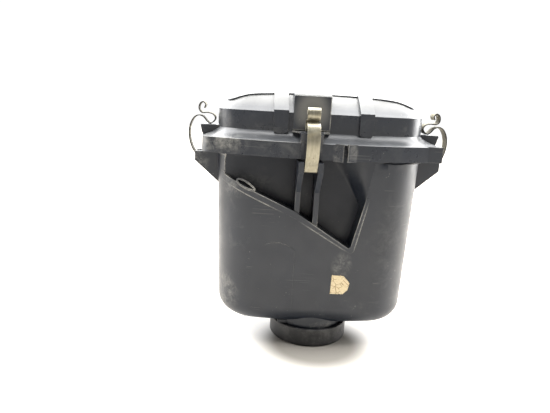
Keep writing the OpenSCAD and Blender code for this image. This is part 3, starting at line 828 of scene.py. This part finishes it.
def moulded_plastic(name, rough, haze, dust_marks, wear_and_glint_spots, painted_shade, painted_sheen=(), crown_dust_and_highlight=0.0):
    """Worn satin plastic: faint mottling, dust marks, scratches, specks and rubbed edges. Some pale
    edge spots are painted highlights, some plain pale patches are a painted sheen, a dark spot is
    painted shade in a hollow, and above the lid's crease there is more haze, partly dust and partly
    painted highlight."""
    s = Shader(name)
    upward = s.axis("Z", s.normal)
    colour = s.mix(s.patches(0.3, 0.72, 26, 5, 0.6), DARK, [c * 1.22 for c in DARK])
    film = s.patches(0.5, 0.75, 70, 6, 0.7, distort=0.5) * s.patches(0.45, 0.62, 11, 2)
    up = s.span(upward, 0.35, 0.9)
    settled = up * s.patches(0.45, 0.8, 260, 5, 0.75)
    cloudy = s.span(s.noise(120, 7, 0.74, distort=0.5), 0.4, 0.68, 0.05, 1.0)
    marks = film * 0.07
    for centre, size, strength in dust_marks:
        marks |= s.spot(centre, size) * cloudy * strength
    # Painted sheen: plain pale patches, without noise, where the surface looks brighter under the light.
    for centre, size, strength in painted_sheen:
        marks |= s.spot(centre, size) * strength
    # Partly dust and partly painted highlight: paler on up-facing faces above the lid's crease.
    crown = s.span(s.axis("Z"), CREASE * MM, (CREASE + 11) * MM)
    bloom = crown * s.span(upward, 0.3, 0.8) * crown_dust_and_highlight
    dust_and_sheen = (settled | 0.5) * (up * haze) | marks | bloom
    colour = s.mix(dust_and_sheen, colour, PALE)

    scratches = []
    for turn, scale in (((0, 28, 10), (10, 10, 1300)), ((0, -58, 0), (9, 9, 1700)),
                        ((0, 78, 30), (12, 12, 1500))):
        line = s.patches(0.715, 0.74, 1.0, 1, 0.4, s.stretch(scale, turn))
        scratches.append(line * s.patches(0.57, 0.62, 31, 2))
    scratched = scratches[0] | scratches[1] | scratches[2]
    specks = s.span(s.cells(300), 0.13, 0.06) * s.patches(0.6, 0.66, 48, 2)
    fine = s.span(s.cells(900), 0.15, 0.07) * s.patches(0.58, 0.66, 120, 2)
    rubbed = s.edges(0.8) * s.patches(0.42, 0.66, 210, 4, 0.75)
    wear_and_glints = scratched * 0.14 | (specks | fine * 0.6) * 0.5 | rubbed * 0.2
    # Pale edges in chosen spots: some are rubbing wear, some are painted highlights on edges that catch
    # the light.
    for centre, size, strength in wear_and_glint_spots:
        chipped = s.span(s.noise(180, 4, 0.7), 0.3, 0.55, 0.35, 1.0)
        wear_and_glints |= s.edges(1.5, 0.006, 0.09) * s.spot(centre, size) * strength * chipped
    colour = s.mix(wear_and_glints, colour, PALE)

    # Painted shade: a hollow darkened nearly to black, with most of its reflection taken away.
    centre, size, strength = painted_shade
    painted_shade_mask = s.spot(centre, size, 0.3) * strength
    colour = s.mix(painted_shade_mask, colour, [0.003, 0.004, 0.008])
    roughness = s.span(s.noise(60, 5, 0.65), 0.3, 0.75, rough - 0.05, rough + 0.08)
    s.set(Base_Color=colour, Specular_IOR_Level=s.span(painted_shade_mask, 0.0, 1.0, 0.45, 0.1, "LINEAR"),
          Roughness=s.math("ADD", roughness, (dust_and_sheen | wear_and_glints) * 0.4, clamp=True))
    grain = s.noise(2600, 2, 0.5) * 0.25 + s.noise(70, 2, 0.5) * 0.9
    s.bump(grain - scratched * 0.5, 0.035)
    return s.material


def rubber(name, base, rough):
    """Matt moulded rubber with a pale bloom and fine dust."""
    s = Shader(name)
    bloom = s.patches(0.42, 0.7, 60, 5, 0.7) * s.patches(0.4, 0.65, 9, 2)
    colour = s.mix(bloom * 0.3, base, [0.16, 0.155, 0.15])
    grit = s.span(s.cells(700), 0.14, 0.06) * s.patches(0.56, 0.63, 50, 2)
    rubbed = s.edges(0.8) * s.patches(0.4, 0.65, 140, 3)
    colour = s.mix(grit * 0.6 | rubbed * 0.12, colour, [0.42, 0.4, 0.37])
    s.set(Base_Color=colour, Specular_IOR_Level=0.45,
          Roughness=s.span(s.noise(80, 4), 0.3, 0.7, rough - 0.08, rough + 0.12))
    s.bump(s.noise(1500, 3) * 0.4 + s.noise(90, 2), 0.06)
    return s.material


def spring_steel(name):
    """Tarnished spring strip: rolled streaks, brown stains and small rust spots. The side clips
    carry painted shade: darker, less metallic, less reflective, and near black on front-facing edges."""
    s = Shader(name)
    streaks = s.noise(1.0, 4, 0.65, s.stretch((700, 700, 22)))
    colour = s.mix(s.span(streaks, 0.3, 0.7), [0.22, 0.203, 0.15], [0.3, 0.282, 0.22])
    stain = s.patches(0.5, 0.72, 75, 5, 0.65, distort=0.5)
    colour = s.mix(stain * 0.45, colour, [0.24, 0.2, 0.12])
    # Painted shade: the side clips are darker, and below they are made less metallic and less reflective.
    dull = s.spot((-116, 13, 187), (40, 100, 100)) | s.spot((116, 13, 187), (40, 100, 100))
    colour = s.mix(dull * 0.95, colour, [0.19, 0.178, 0.14])
    # Painted shade: near black on edges that face the front.
    painted_edge_shade = s.span(s.axis("Y", s.normal), -0.35, -0.75)
    colour = s.mix(dull * painted_edge_shade, colour, [0.012, 0.011, 0.008])
    rust = s.patches(0.6, 0.7, 420, 4, 0.7) * s.patches(0.5, 0.62, 70, 2)
    colour = s.mix(rust * 0.8, colour, [0.09, 0.05, 0.03])
    s.set(Base_Color=colour, Metallic=s.span(dull, 0.2, 0.7, 0.85, 0.0),
          Specular_IOR_Level=s.span(dull, 0.2, 0.7, 0.25, 0.01),
          Roughness=s.span(streaks, 0.3, 0.7, 0.34, 0.46) + (stain | rust) * 0.25)
    s.bump(streaks * 0.4 - rust, 0.03)
    return s.material


def plated_steel(name, base):
    """Zinc plate: soft grain, dull patches and white bloom in places."""
    s = Shader(name)
    colour = s.mix(s.span(s.cells(500), 0.2, 0.8), base, [c * 0.75 for c in base])
    dull = s.patches(0.5, 0.7, 120, 5, 0.7)
    colour = s.mix(dull * 0.5, colour, [0.5, 0.47, 0.4])
    s.set(Base_Color=colour, Metallic=0.9,
          Roughness=s.span(s.noise(260, 3), 0.3, 0.7, 0.3, 0.42) + dull * 0.25)
    s.bump(s.noise(900, 3), 0.03)
    return s.material


def paper_tape(name):
    """Cream paper tape: fibres, brown creases and brown stains."""
    s = Shader(name)
    fibre = s.noise(1.0, 4, 0.6, s.stretch((500, 500, 2400), (0, 20, 0)))
    colour = s.mix(s.span(fibre, 0.3, 0.7), [0.60, 0.50, 0.31], [0.70, 0.60, 0.40])
    border = s.cells(170, "DISTANCE_TO_EDGE", s.stretch((1, 1, 1.4), (0, 30, 0)))
    crease = s.span(border, 0.0, 0.09, 1, 0) * s.patches(0.44, 0.56, 130, 2)
    colour = s.mix(crease * 0.8, colour, [0.2, 0.11, 0.045])
    stain = s.patches(0.55, 0.7, 210, 5, 0.7, distort=1.0)
    colour = s.mix(stain * 0.7, colour, [0.46, 0.29, 0.13])
    s.set(Base_Color=colour, Roughness=0.8)
    s.bump(fibre * 0.3 - crease * 0.5, 0.15)
    return s.material


def pleat_paper(name):
    """Resin treated filter paper with embossed dimples and grey dust on the folds."""
    s = Shader(name)
    fibre = s.noise(1.0, 5, 0.7, s.stretch((900, 500, 900)))
    colour = s.mix(s.span(fibre, 0.3, 0.7), [0.62, 0.52, 0.31], [0.76, 0.67, 0.45])
    dirt = s.span(s.axis("Z"), 196 * MM, 204 * MM) * s.patches(0.35, 0.65, 90, 5, 0.7)
    colour = s.mix(dirt * 0.6, colour, [0.22, 0.2, 0.17])
    s.set(Base_Color=colour, Roughness=0.85)
    s.bump(s.cells(420) * 0.8 + fibre * 0.3, 0.12)
    return s.material


def open_foam(name):
    """Open cell foam, lightly oiled: paler struts, with painted shade making the pores dark."""
    s = Shader(name)
    strut = s.span(s.cells(750, "DISTANCE_TO_EDGE"), 0.02, 0.14, 1, 0)
    # Painted shade in the pores: dark between the paler struts.
    colour = s.mix(strut, [0.02, 0.02, 0.022], [0.12, 0.12, 0.13])
    dust = s.patches(0.45, 0.7, 70, 5, 0.7)
    s.set(Base_Color=s.mix(dust * 0.35, colour, [0.3, 0.28, 0.24]), Roughness=0.9,
          Sheen_Weight=0.2)
    s.bump(strut, 0.5)
    return s.material


def soft_rim(name):
    """Moulded polyurethane: warm, waxy, with fine skin pits and dark handling marks."""
    s = Shader(name)
    colour = s.mix(s.patches(0.35, 0.65, 40, 4), [0.40, 0.145, 0.04], [0.50, 0.21, 0.07])
    colour = s.mix(s.patches(0.5, 0.72, 110, 6, 0.72) * 0.5, colour, [0.09, 0.07, 0.06])
    s.set(Base_Color=colour, Roughness=0.5, Subsurface_Weight=0.08,
          Subsurface_Radius=(0.004, 0.0015, 0.0008))
    s.bump(s.noise(1400, 3) + s.span(s.cells(900), 0.1, 0.2), 0.05)
    return s.material


# Each mark is a middle, half sizes in millimetres and a strength.
CASE_MARKS = [
    ((-113, 13, 163), (16, 24, 20), 0.4),
    ((23, -38, 80), (11, 26, 15), 0.3),
    ((-84, -12, 45), (24, 30, 26), 0.3),
    ((-66, -20, 146), (34, 22, 14), 0.25),
    ((66, -30, 100), (24, 30, 60), 0.05),
    ((8, -28, 19), (14, 12, 5), 0.45),
]
# Pale edges: rubbing wear, except the raised arch's edge, which is a painted highlight.
CASE_WEAR_AND_GLINTS = [
    ((-86, -20, 163), (12, 24, 20), 1.0),
    ((-52, -30, 140), (42, 16, 20), 1.0),
    ((6, -36, 106), (34, 10, 22), 0.9),
    ((36, -32, 116), (12, 14, 34), 1.0),
    # Painted highlight along the raised arch's upper edge.
    ((-36, -35, 98), (18, 12, 7), 0.5),
]
LID_MARKS = [
    ((-84, -15, 184), (32, 34, 14), 0.45),
    ((-30, -42, 182), (45, 14, 8), 0.12),
    ((10, -44, 182), (5, 8, 12), 0.3),
    ((24, -44, 182), (5, 8, 12), 0.25),
    ((-88, -5, 200), (14, 26, 16), 0.15),
    ((30, -40, 191), (50, 16, 5), 0.12),
]
# Pale edges: rubbing wear, and painted highlights along the front pad's shelf and right edge.
LID_WEAR_AND_GLINTS = [
    ((-60, -30, 189), (70, 40, 4), 0.35),
    ((17, -44, 181), (12, 10, 12), 0.5),
    # The next two are painted highlights on the front pad's edges.
    ((-12, -34, 197), (24, 14, 4), 1.0),
    ((4, -34, 213), (3, 14, 20), 0.9),
    ((100, -10, 182), (14, 40, 12), 0.3),
]
# Painted shade in the case's recess and in the lid's slot.
CASE_PAINTED_SHADE = ((-20, -13, 145), (84, 14, 66), 0.5)
LID_PAINTED_SHADE = ((17, -42, 180), (2.6, 8, 9), 0.9)
# A painted sheen on the front pad's face.
LID_PAINTED_SHEEN = [((-12, -33, 213), (19, 3, 22), 0.32)]
PALE = [0.355, 0.35, 0.32]
DARK = [0.0105, 0.0135, 0.02]
MATERIALS = {slot: build(slot, *settings) for slot, build, *settings in (
    ("case_plastic", moulded_plastic, 0.38, 0.09, CASE_MARKS, CASE_WEAR_AND_GLINTS, CASE_PAINTED_SHADE),
    ("lid_plastic", moulded_plastic, 0.3, 0.19, LID_MARKS, LID_WEAR_AND_GLINTS, LID_PAINTED_SHADE, LID_PAINTED_SHEEN, 0.36),
    ("collar_rubber", rubber, [0.009, 0.009, 0.01], 0.45),
    ("hose_rubber", rubber, [0.016, 0.016, 0.017], 0.6),
    ("spring_steel", spring_steel),
    ("zinc_steel", plated_steel, [0.72, 0.69, 0.6]),
    ("wire_mesh", plated_steel, [0.5, 0.5, 0.49]),
    ("paper_tape", paper_tape),
    ("filter_paper", pleat_paper),
    ("filter_foam", open_foam),
    ("rim_polyurethane", soft_rim))}


# ---------------- small pieces


def build_collar():
    """Rubber collar: rounded rolled foot, shallow clamp seat and a thin lip at its top."""
    r = COLLAR_R
    profile = rounded([(NECK_R, 0), (r, 0), (r, COLLAR_H), (r - 2.4, COLLAR_H), (r - 2.9, COLLAR_H - 1.2),
                       (NECK_OUT, COLLAR_H - 1.2), (NECK_OUT, NECK_Z), (NECK_R, NECK_Z)],
                      [1, 2.5, 0.8, 0.5, 0.5, 0.2, 0.2, 0.2], 6)
    return shade(lathe("outlet_collar_rubber", profile, 128))


def build_plug():
    """Drain plug: a tapered stem with a domed head under the boss."""
    low, high, (cx, cy, _), (r, _, _) = box_mm("drain_plug")
    z0, z1 = low.z, high.z
    head = [(0.01, z0), (r - 3.5, z0 + 0.1), (r - 1.2, z0 + 0.5), (r - 0.2, z0 + 1.3), (r, z0 + 2),
            (r - 0.3, z0 + 2.5), (r - 3.4, z0 + 2.5), (r - 3.5, z1 - 0.8), (r - 4.2, z1), (0.01, z1)]
    return shade(lathe("drain_plug_rubber", head, 48, (cx, cy), capped=True))


def build_elbow():
    """Breather elbow: a curved rubber pipe with a bead at each end."""
    out, bore, bend, straight, tail = SPIGOT_R + 2.5, SPIGOT_R, 15, 14, 12
    start = elbow_low.y
    path = [(start + d, SPIGOT_Z, 0.0) for d in np.linspace(0, straight, 8)]
    path += [(start + straight + bend * math.sin(a), SPIGOT_Z - bend * (1 - math.cos(a)), a)
             for a in np.radians(np.linspace(0, 90, 17))[1:]]
    path += [(start + straight + bend, SPIGOT_Z - bend - d, math.pi / 2)
             for d in np.linspace(0, tail, 7)[1:]]
    around = np.linspace(0, 2 * math.pi, 48, endpoint=False)

    def loops(radii):
        return [np.column_stack([SPIGOT_X + r * np.cos(around), y + r * np.sin(around) * math.sin(a),
                                 z + r * np.sin(around) * math.cos(a)])
                for (y, z, a), r in zip(path, radii)]

    between = len(path) - 4
    skin = loops([out - 0.5, out] + [out - 0.35] * between + [out, out - 0.5])
    lining = loops([bore + 0.4] + [bore] * (between + 2) + [bore + 0.4])
    return shade(loft("breather_hose_elbow", skin + lining[::-1], closed=True), 50)


def build_breather_band():
    """A spring band clamp on the elbow, its two ears turned up."""
    low, high, (_, middle, _), _ = box_mm("breather_clamp")
    r = SPIGOT_R + 2.5 + 0.4
    ring_line = arc(0, 0, r, 90 + 14, 450 - 14, 60)
    ear = high.z - SPIGOT_Z - 0.5
    line = np.vstack([[(-2.7, ear), (-2.7, r + 1.4)], ring_line, [(2.7, r + 1.4), (2.7, ear)]])
    return shade(ribbon("breather_spring_band", line, high.y - low.y, 0.8,
                        lambda a, b, w: (SPIGOT_X + a, middle + w, SPIGOT_Z + b)))


def mesh_of(obj):
    """Points and faces of an object in millimetres, and the object removed."""
    verts = np.array([v.co / MM for v in obj.data.vertices])
    faces = [tuple(p.vertices) for p in obj.data.polygons]
    bpy.data.objects.remove(obj)
    return verts, faces


def in_both_ears(name, profile):
    """A turned shape in each of the two mounting ears, as one object."""
    return shade(gather(name, [mesh_of(lathe("one", profile, 64, (x, EAR_Y))) for x in EARS]))


def build_grommets():
    """Two rubber grommets in the ears."""
    low, high, _, _ = box_mm("mount_grommets")
    top = EAR_Z + EAR_T
    return in_both_ears("ear_grommets", rounded(
        [(5, low.z), (12, low.z), (12, EAR_Z), (8, EAR_Z), (8, top), (12, top), (12, high.z),
         (5, high.z)], [0.4, 1, 0.4, 0.2, 0.2, 0.4, 1, 0.4], 4))


def build_sleeves():
    """Two steel spacer sleeves in the grommets."""
    low, high, _, _ = box_mm("mount_sleeves")
    return in_both_ears("ear_sleeves", rounded(
        [(3.2, low.z), (5, low.z), (5, high.z), (3.2, high.z)], 0.35, 3))


def build_label():
    """A torn, creased piece of paper tape on the front wall."""
    cx, _, cz = box_mm("paper_label")[2]
    corners = np.array([(-8.6, -9), (3, -9), (7.2, -5), (8.6, 1.6), (2.8, 8.4), (-8, 9)])
    shares = np.arange(12) / 12
    border = [a * (1 - k) + b * k for a, b in zip(corners, np.roll(corners, -1, 0)) for k in shares]
    loops = [np.array(border) * t for t in np.linspace(1, 0.04, 26)]

    def lifted(p, out):
        x, z = cx + p[0], cz + p[1]
        crumple = noise.noise(Vector((x * 0.35, 3.1, z * 0.35))) + 0.5 * noise.noise(
            Vector((x * 0.9, 7.7, z * 0.9)))
        ragged = 0.25 * noise.noise(Vector((x * 2.1, 1.3, z * 2.1)))
        torn = 0.5 * abs(p[1]) / 9 * noise.noise(Vector((x * 1.4, 4.2, 0)))
        return (x + ragged, wall_y(x, z) - out - 0.16 * (crumple + 0.6), z + ragged * 0.6 + torn)

    front, back = ([np.array([lifted(p, out) for p in loop]) for loop in loops]
                   for out in (0.16, -0.05))
    return shade(loft("tape_label", back[::-1] + front), 60)


def build_filter_rim():
    """The filter's moulded rim: a sealing flange and the wall that holds the pack."""
    hw, hd, _, bow = shrink(SKIRT, 4.2)
    flange = (hw, hd, 5, bow)
    wall_t = 2.5
    pack_hw, pack_hd = 70, 25
    low, top = rim_low.z, rim_high.z
    out, bore = (pack_hw + wall_t, pack_hd + wall_t, 6, 0), (pack_hw, pack_hd, 4, 0)
    levels = [(flange, 0.7, RIM_TOP), (flange, 0, RIM_TOP + 0.6),
              (flange, 0, (RIM_TOP + CLAMP_Z) / 2), (flange, 0, CLAMP_Z - 0.6),
              (flange, 0.7, CLAMP_Z), (flange, 6, CLAMP_Z), (flange, 6.8, CLAMP_Z - 0.7),
              (flange, 7.6, CLAMP_Z), (out, 0, CLAMP_Z), (out, 0, top - 0.8), (out, 0.5, top),
              (bore, -0.5, top), (bore, 0, top - 0.8), (bore, 0, low + 0.8), (bore, -0.5, low),
              (out, 0.5, low), (out, 0, low + 0.8), (out, 0, RIM_TOP)]
    loops = [ring(shrink(shape, inset), z) for shape, inset, z in levels]
    return shade(loft("filter_rim", loops, closed=True), 35)


def build_pleats():
    """The pleated pack: one folded sheet with rounded folds."""
    media_low, media_high, _, _ = box_mm("filter_media")
    pitch, low, high = 5.0, media_low.z + 0.6, media_high.z - 0.6
    count = int((media_high.x - media_low.x) / pitch)
    start = -count * pitch / 2
    zigzag = [(start + i * pitch / 2, low if i % 2 == 0 else high) for i in range(2 * count + 1)]
    line = [zigzag[0]]
    for a, p, b in zip(zigzag, zigzag[1:], zigzag[2:]):
        a, p, b = np.array(a), np.array(p), np.array(b)
        to_a, to_b = (a - p) / np.linalg.norm(a - p), (b - p) / np.linalg.norm(b - p)
        for t in (0, 0.25, 0.5, 0.75, 1):
            first, last = p + to_a * 2.2, p + to_b * 2.2
            line.append((1 - t) ** 2 * first + 2 * t * (1 - t) * p + t ** 2 * last)
    line.append(zigzag[-1])
    depth = media_high.y - media_low.y
    return shade(ribbon("filter_pleats", line, depth, 0.7, lambda a, b, w: (a, MID_Y + w, b)), 50)


def woven(name, x, y, pitch, r, place):
    """A woven wire screen over two ranges, with each wire passing over and under."""
    nx, ny = int((x[1] - x[0]) / pitch), int((y[1] - y[0]) / pitch)
    xs, ys = np.linspace(*x, nx + 1), np.linspace(*y, ny + 1)
    step_x, step_y = (xs[1] - xs[0]) / 2, (ys[1] - ys[0]) / 2

    def wave(k, wire):
        return r * 0.9 * math.cos(math.pi * (k / 2 + wire))

    parts = [tube([place(xs[0] + k * step_x, b, wave(k, j)) for k in range(2 * nx + 1)], r, 6)
             for j, b in enumerate(ys)]
    parts += [tube([place(a, ys[0] + k * step_y, -wave(k, i)) for k in range(2 * ny + 1)], r, 6)
              for i, a in enumerate(xs)]
    return shade(gather(name, parts), 60)


def build_foam():
    """The foam pre-filter, with soft edges and a slightly uneven face."""
    lowest, highest, _, (hw, hd, _) = box_mm("prefilter_foam")
    low, high = lowest.z, highest.z
    profile = [(d, low) for d in np.linspace(24, 1.5, 14)]
    profile += [(0.5, low + 0.4), (0, low + 1.4), (0, high - 1.6), (0.5, high - 0.5)]
    profile += [(d, high) for d in np.linspace(1.5, 24, 14)]
    loops = []
    for inset, z in profile:
        loop = ring((hw - inset, hd - inset, max(6 - inset, 0.6), 0), z)
        if z > low + 1:
            for p in loop:
                p[2] += 0.16 * (noise.noise(Vector((p[0] * 0.1, p[1] * 0.1, z * 0.2))) - 0.6)
        loops.append(loop)
    return shade(loft("filter_foam_pad", loops), 50)


def build_snorkel():
    """The rubber boot on the inlet duct, with two bellows and a rolled mouth."""
    low, high, (cx, _, cz), (hw, _, hh) = box_mm("inlet_snorkel")
    near_root = [(0, 0.8), (0.6, 0.35), (2, 0.3), (10.6, 0.3), (12, 0.9), (13.2, 1.5), (15, 1.5),
                 (16.4, 0.2), (18, 0), (19.4, 0.3), (20.8, 1.5), (22.6, 1.5), (24, 0.2), (25.6, 0),
                 (27, 0.5), (28.6, 1.3)]
    mouth = [(-3, 1.0), (-2, 0.2), (-0.8, 0), (0, 0.6), (0, 2.2), (-1, 2.9), (-6, 3.0)]
    lining = [(24.6, 2.6), (21.6, 3.0), (17.6, 2.6), (14, 3.0), (1, 3.0), (0, 2.6)]
    loops = []
    for start, profile in ((low.y, near_root), (high.y, mouth), (low.y, lining)):
        for y, inset in profile:
            p = rectangle(hw - inset, hh - inset, 7 - inset, 7)
            loops.append(np.column_stack([cx + p[:, 0], np.full(len(p), start + y), cz + p[:, 1]]))
    return shade(loft("snorkel_boot", loops, closed=True), 50)


def build_snorkel_band():
    """The band round the boot, with its screw housing on the right."""
    low, high, (cx, middle, cz), (half_x, _, half_z) = box_mm("snorkel_clamp")
    hw, hh = half_x - 0.4, half_z - 0.4
    band = ribbon("band", rectangle(hw, hh, 7.2, 10), high.y - low.y, 0.8,
                  lambda a, b, w: (cx + a, middle + w, cz + b), closed=True)
    side = cx + hw
    shell = rounded([(side, cz - 6), (side + 4.2, cz - 5), (side + 4.6, cz), (side + 4.2, cz + 5),
                     (side, cz + 6)], 0.8, 3)
    housing = front_prism("housing", shell, middle - 4.3, middle + 4.3)
    screw = upright("screw", side + 2.6, middle, 2.9, cz + 5, cz + 9, 36)
    slot = block("slot", (side + 2.2, side + 3), (middle - 4, middle + 4), (cz + 8, cz + 10))
    combine(screw, [slot], "DIFFERENCE")
    for part in (housing, screw):
        soften(part, 0.3)
    return shade(gather("snorkel_band_clamp", [mesh_of(o) for o in (band, housing, screw)]))


# ---------------- pieces on their bodies


def build_filter_screen():
    """The woven screen under the pack."""
    low, high, (_, _, z), _ = box_mm("filter_screen")
    return woven("filter_wire_screen", (low.x + 2, high.x - 2), (low.y + 1, high.y - 1), 4, 0.3,
                 lambda a, b, h: (a, b, z + h))


def build_inlet_screen():
    """The woven screen across the inlet duct's mouth."""
    low, high, (_, y, _), _ = box_mm("inlet_screen")
    return woven("inlet_wire_screen", (low.x + 1, high.x - 1), (low.z + 1, high.z - 1), 3.2, 0.3,
                 lambda a, b, h: (a, y + h, b))


for build, body, slot, node in (
        (build_case, "housing", "case_plastic", "case"),
        (build_collar, "housing", "collar_rubber", "outlet_collar"),
        (build_plug, "housing", "hose_rubber", "drain_plug"),
        (build_elbow, "housing", "hose_rubber", "breather_elbow"),
        (build_breather_band, "housing", "zinc_steel", "breather_clamp"),
        (build_grommets, "housing", "hose_rubber", "mount_grommets"),
        (build_sleeves, "housing", "zinc_steel", "mount_sleeves"),
        (build_label, "housing", "paper_tape", "paper_label"),
        (build_filter_rim, "housing", "rim_polyurethane", "filter_frame"),
        (build_pleats, "housing", "filter_paper", "filter_media"),
        (build_filter_screen, "housing", "wire_mesh", "filter_screen"),
        (build_foam, "housing", "filter_foam", "prefilter_foam"),
        (build_lid, "cover", "lid_plastic", "lid"),
        (build_snorkel, "cover", "hose_rubber", "inlet_snorkel"),
        (build_snorkel_band, "cover", "zinc_steel", "snorkel_clamp"),
        (build_inlet_screen, "cover", "wire_mesh", "inlet_screen")):
    piece(build(), body, slot, node)
for side in ("front", "rear", "left", "right"):
    piece(build_clip(side), f"{side}_latch", "spring_steel", f"{side}_clip")


# ---------------- floor, light and camera


def build_floor():
    """A wide pale floor that glows a little, except in a painted shadow round the collar: darker there,
    and not glowing.
    """
    floor = make("floor", [(-4000, -4000, 0), (4000, -4000, 0), (4000, 4000, 0), (-4000, 4000, 0)],
                 [(0, 1, 2, 3)])
    s = Shader("studio_floor")
    # Painted shadow round the collar: a darker colour and no glow.
    painted_shadow = s.spot((4, -28, 0), (66, 64, 50), 0.5)
    s.set(Base_Color=s.mix(painted_shadow, [0.36, 0.33, 0.285], [0.2, 0.187, 0.166]), Roughness=0.85,
          Specular_IOR_Level=0.2, Emission_Color=(1, 1, 1, 1),
          Emission_Strength=s.math("SUBTRACT", 0.8, painted_shadow * 0.8))
    floor.data.materials.append(s.material)


def build_backdrop():
    """A plain white wall all round, which the viewer sees and the light passes through."""
    wall = lathe("backdrop", [(3500, -500), (3500, 6000)], 64, capped=True)
    s = Shader("white_wall")
    s.set(Base_Color=(0, 0, 0, 1), Specular_IOR_Level=0.0, Emission_Color=(1, 1, 1, 1),
          Emission_Strength=1.03)
    wall.data.materials.append(s.material)
    for seen_by in ("diffuse", "glossy", "transmission", "volume_scatter", "shadow"):
        setattr(wall, f"visible_{seen_by}", False)


def soft_light(name, place, aim, size, watts):
    """An area light at place, turned towards aim; places and size in metres."""
    light = bpy.data.lights.new(name, "AREA")
    light.shape = "RECTANGLE"
    light.size, light.size_y = size
    light.energy = watts
    obj = bpy.data.objects.new(name, light)
    obj.location = place
    obj.rotation_mode = "QUATERNION"
    obj.rotation_quaternion = (Vector(aim) - Vector(place)).to_track_quat("-Z", "Y")
    bpy.context.scene.collection.objects.link(obj)


def build_world(front, behind):
    """Studio surroundings: bright above, behind and beside, dimmer where the viewer stands."""
    world = bpy.data.worlds.new("studio")
    bpy.context.scene.world = world
    world.use_nodes = True
    nodes = Nodes(world.node_tree)
    point = nodes.result(nodes.node("TexCoord"), "Generated")
    lean = nodes.vector_math("DOT_PRODUCT", point, (0, 0.8, 0.6))
    share = nodes.span(lean, -0.15, 0.8, front, behind)
    nodes.fill(world.node_tree.nodes["Background"], {"Color": (1, 1, 1, 1), "Strength": share})


build_floor()
build_backdrop()
build_world(0.3, 3.8)
soft_light("top", (0, 0.42, 1.0), (0, 0, 0.15), (2.6, 1.5), 90)
soft_light("left", (-1.1, 0.3, 0.5), (0, 0, 0.12), (0.8, 1.0), 6)
soft_light("right", (1.1, 0.35, 0.5), (0, 0, 0.12), (0.8, 1.2), 28)

camera = bpy.data.objects.new("camera", bpy.data.cameras.new("camera"))
camera.data.sensor_width = 36
camera.data.lens = 32.69
camera.data.clip_start = 0.01
camera.location = (-0.05694, -0.46006, 0.2216)
turn = (Matrix.Rotation(math.radians(-2.35), 4, "Z") @ Matrix.Rotation(math.radians(77.98), 4, "X")
        @ Matrix.Rotation(math.radians(3.09), 4, "Z"))
camera.rotation_mode = "QUATERNION"
camera.rotation_quaternion = turn.to_quaternion()
bpy.context.scene.collection.objects.link(camera)
bpy.context.scene.camera = camera
bpy.context.scene.view_settings.view_transform = "Standard"
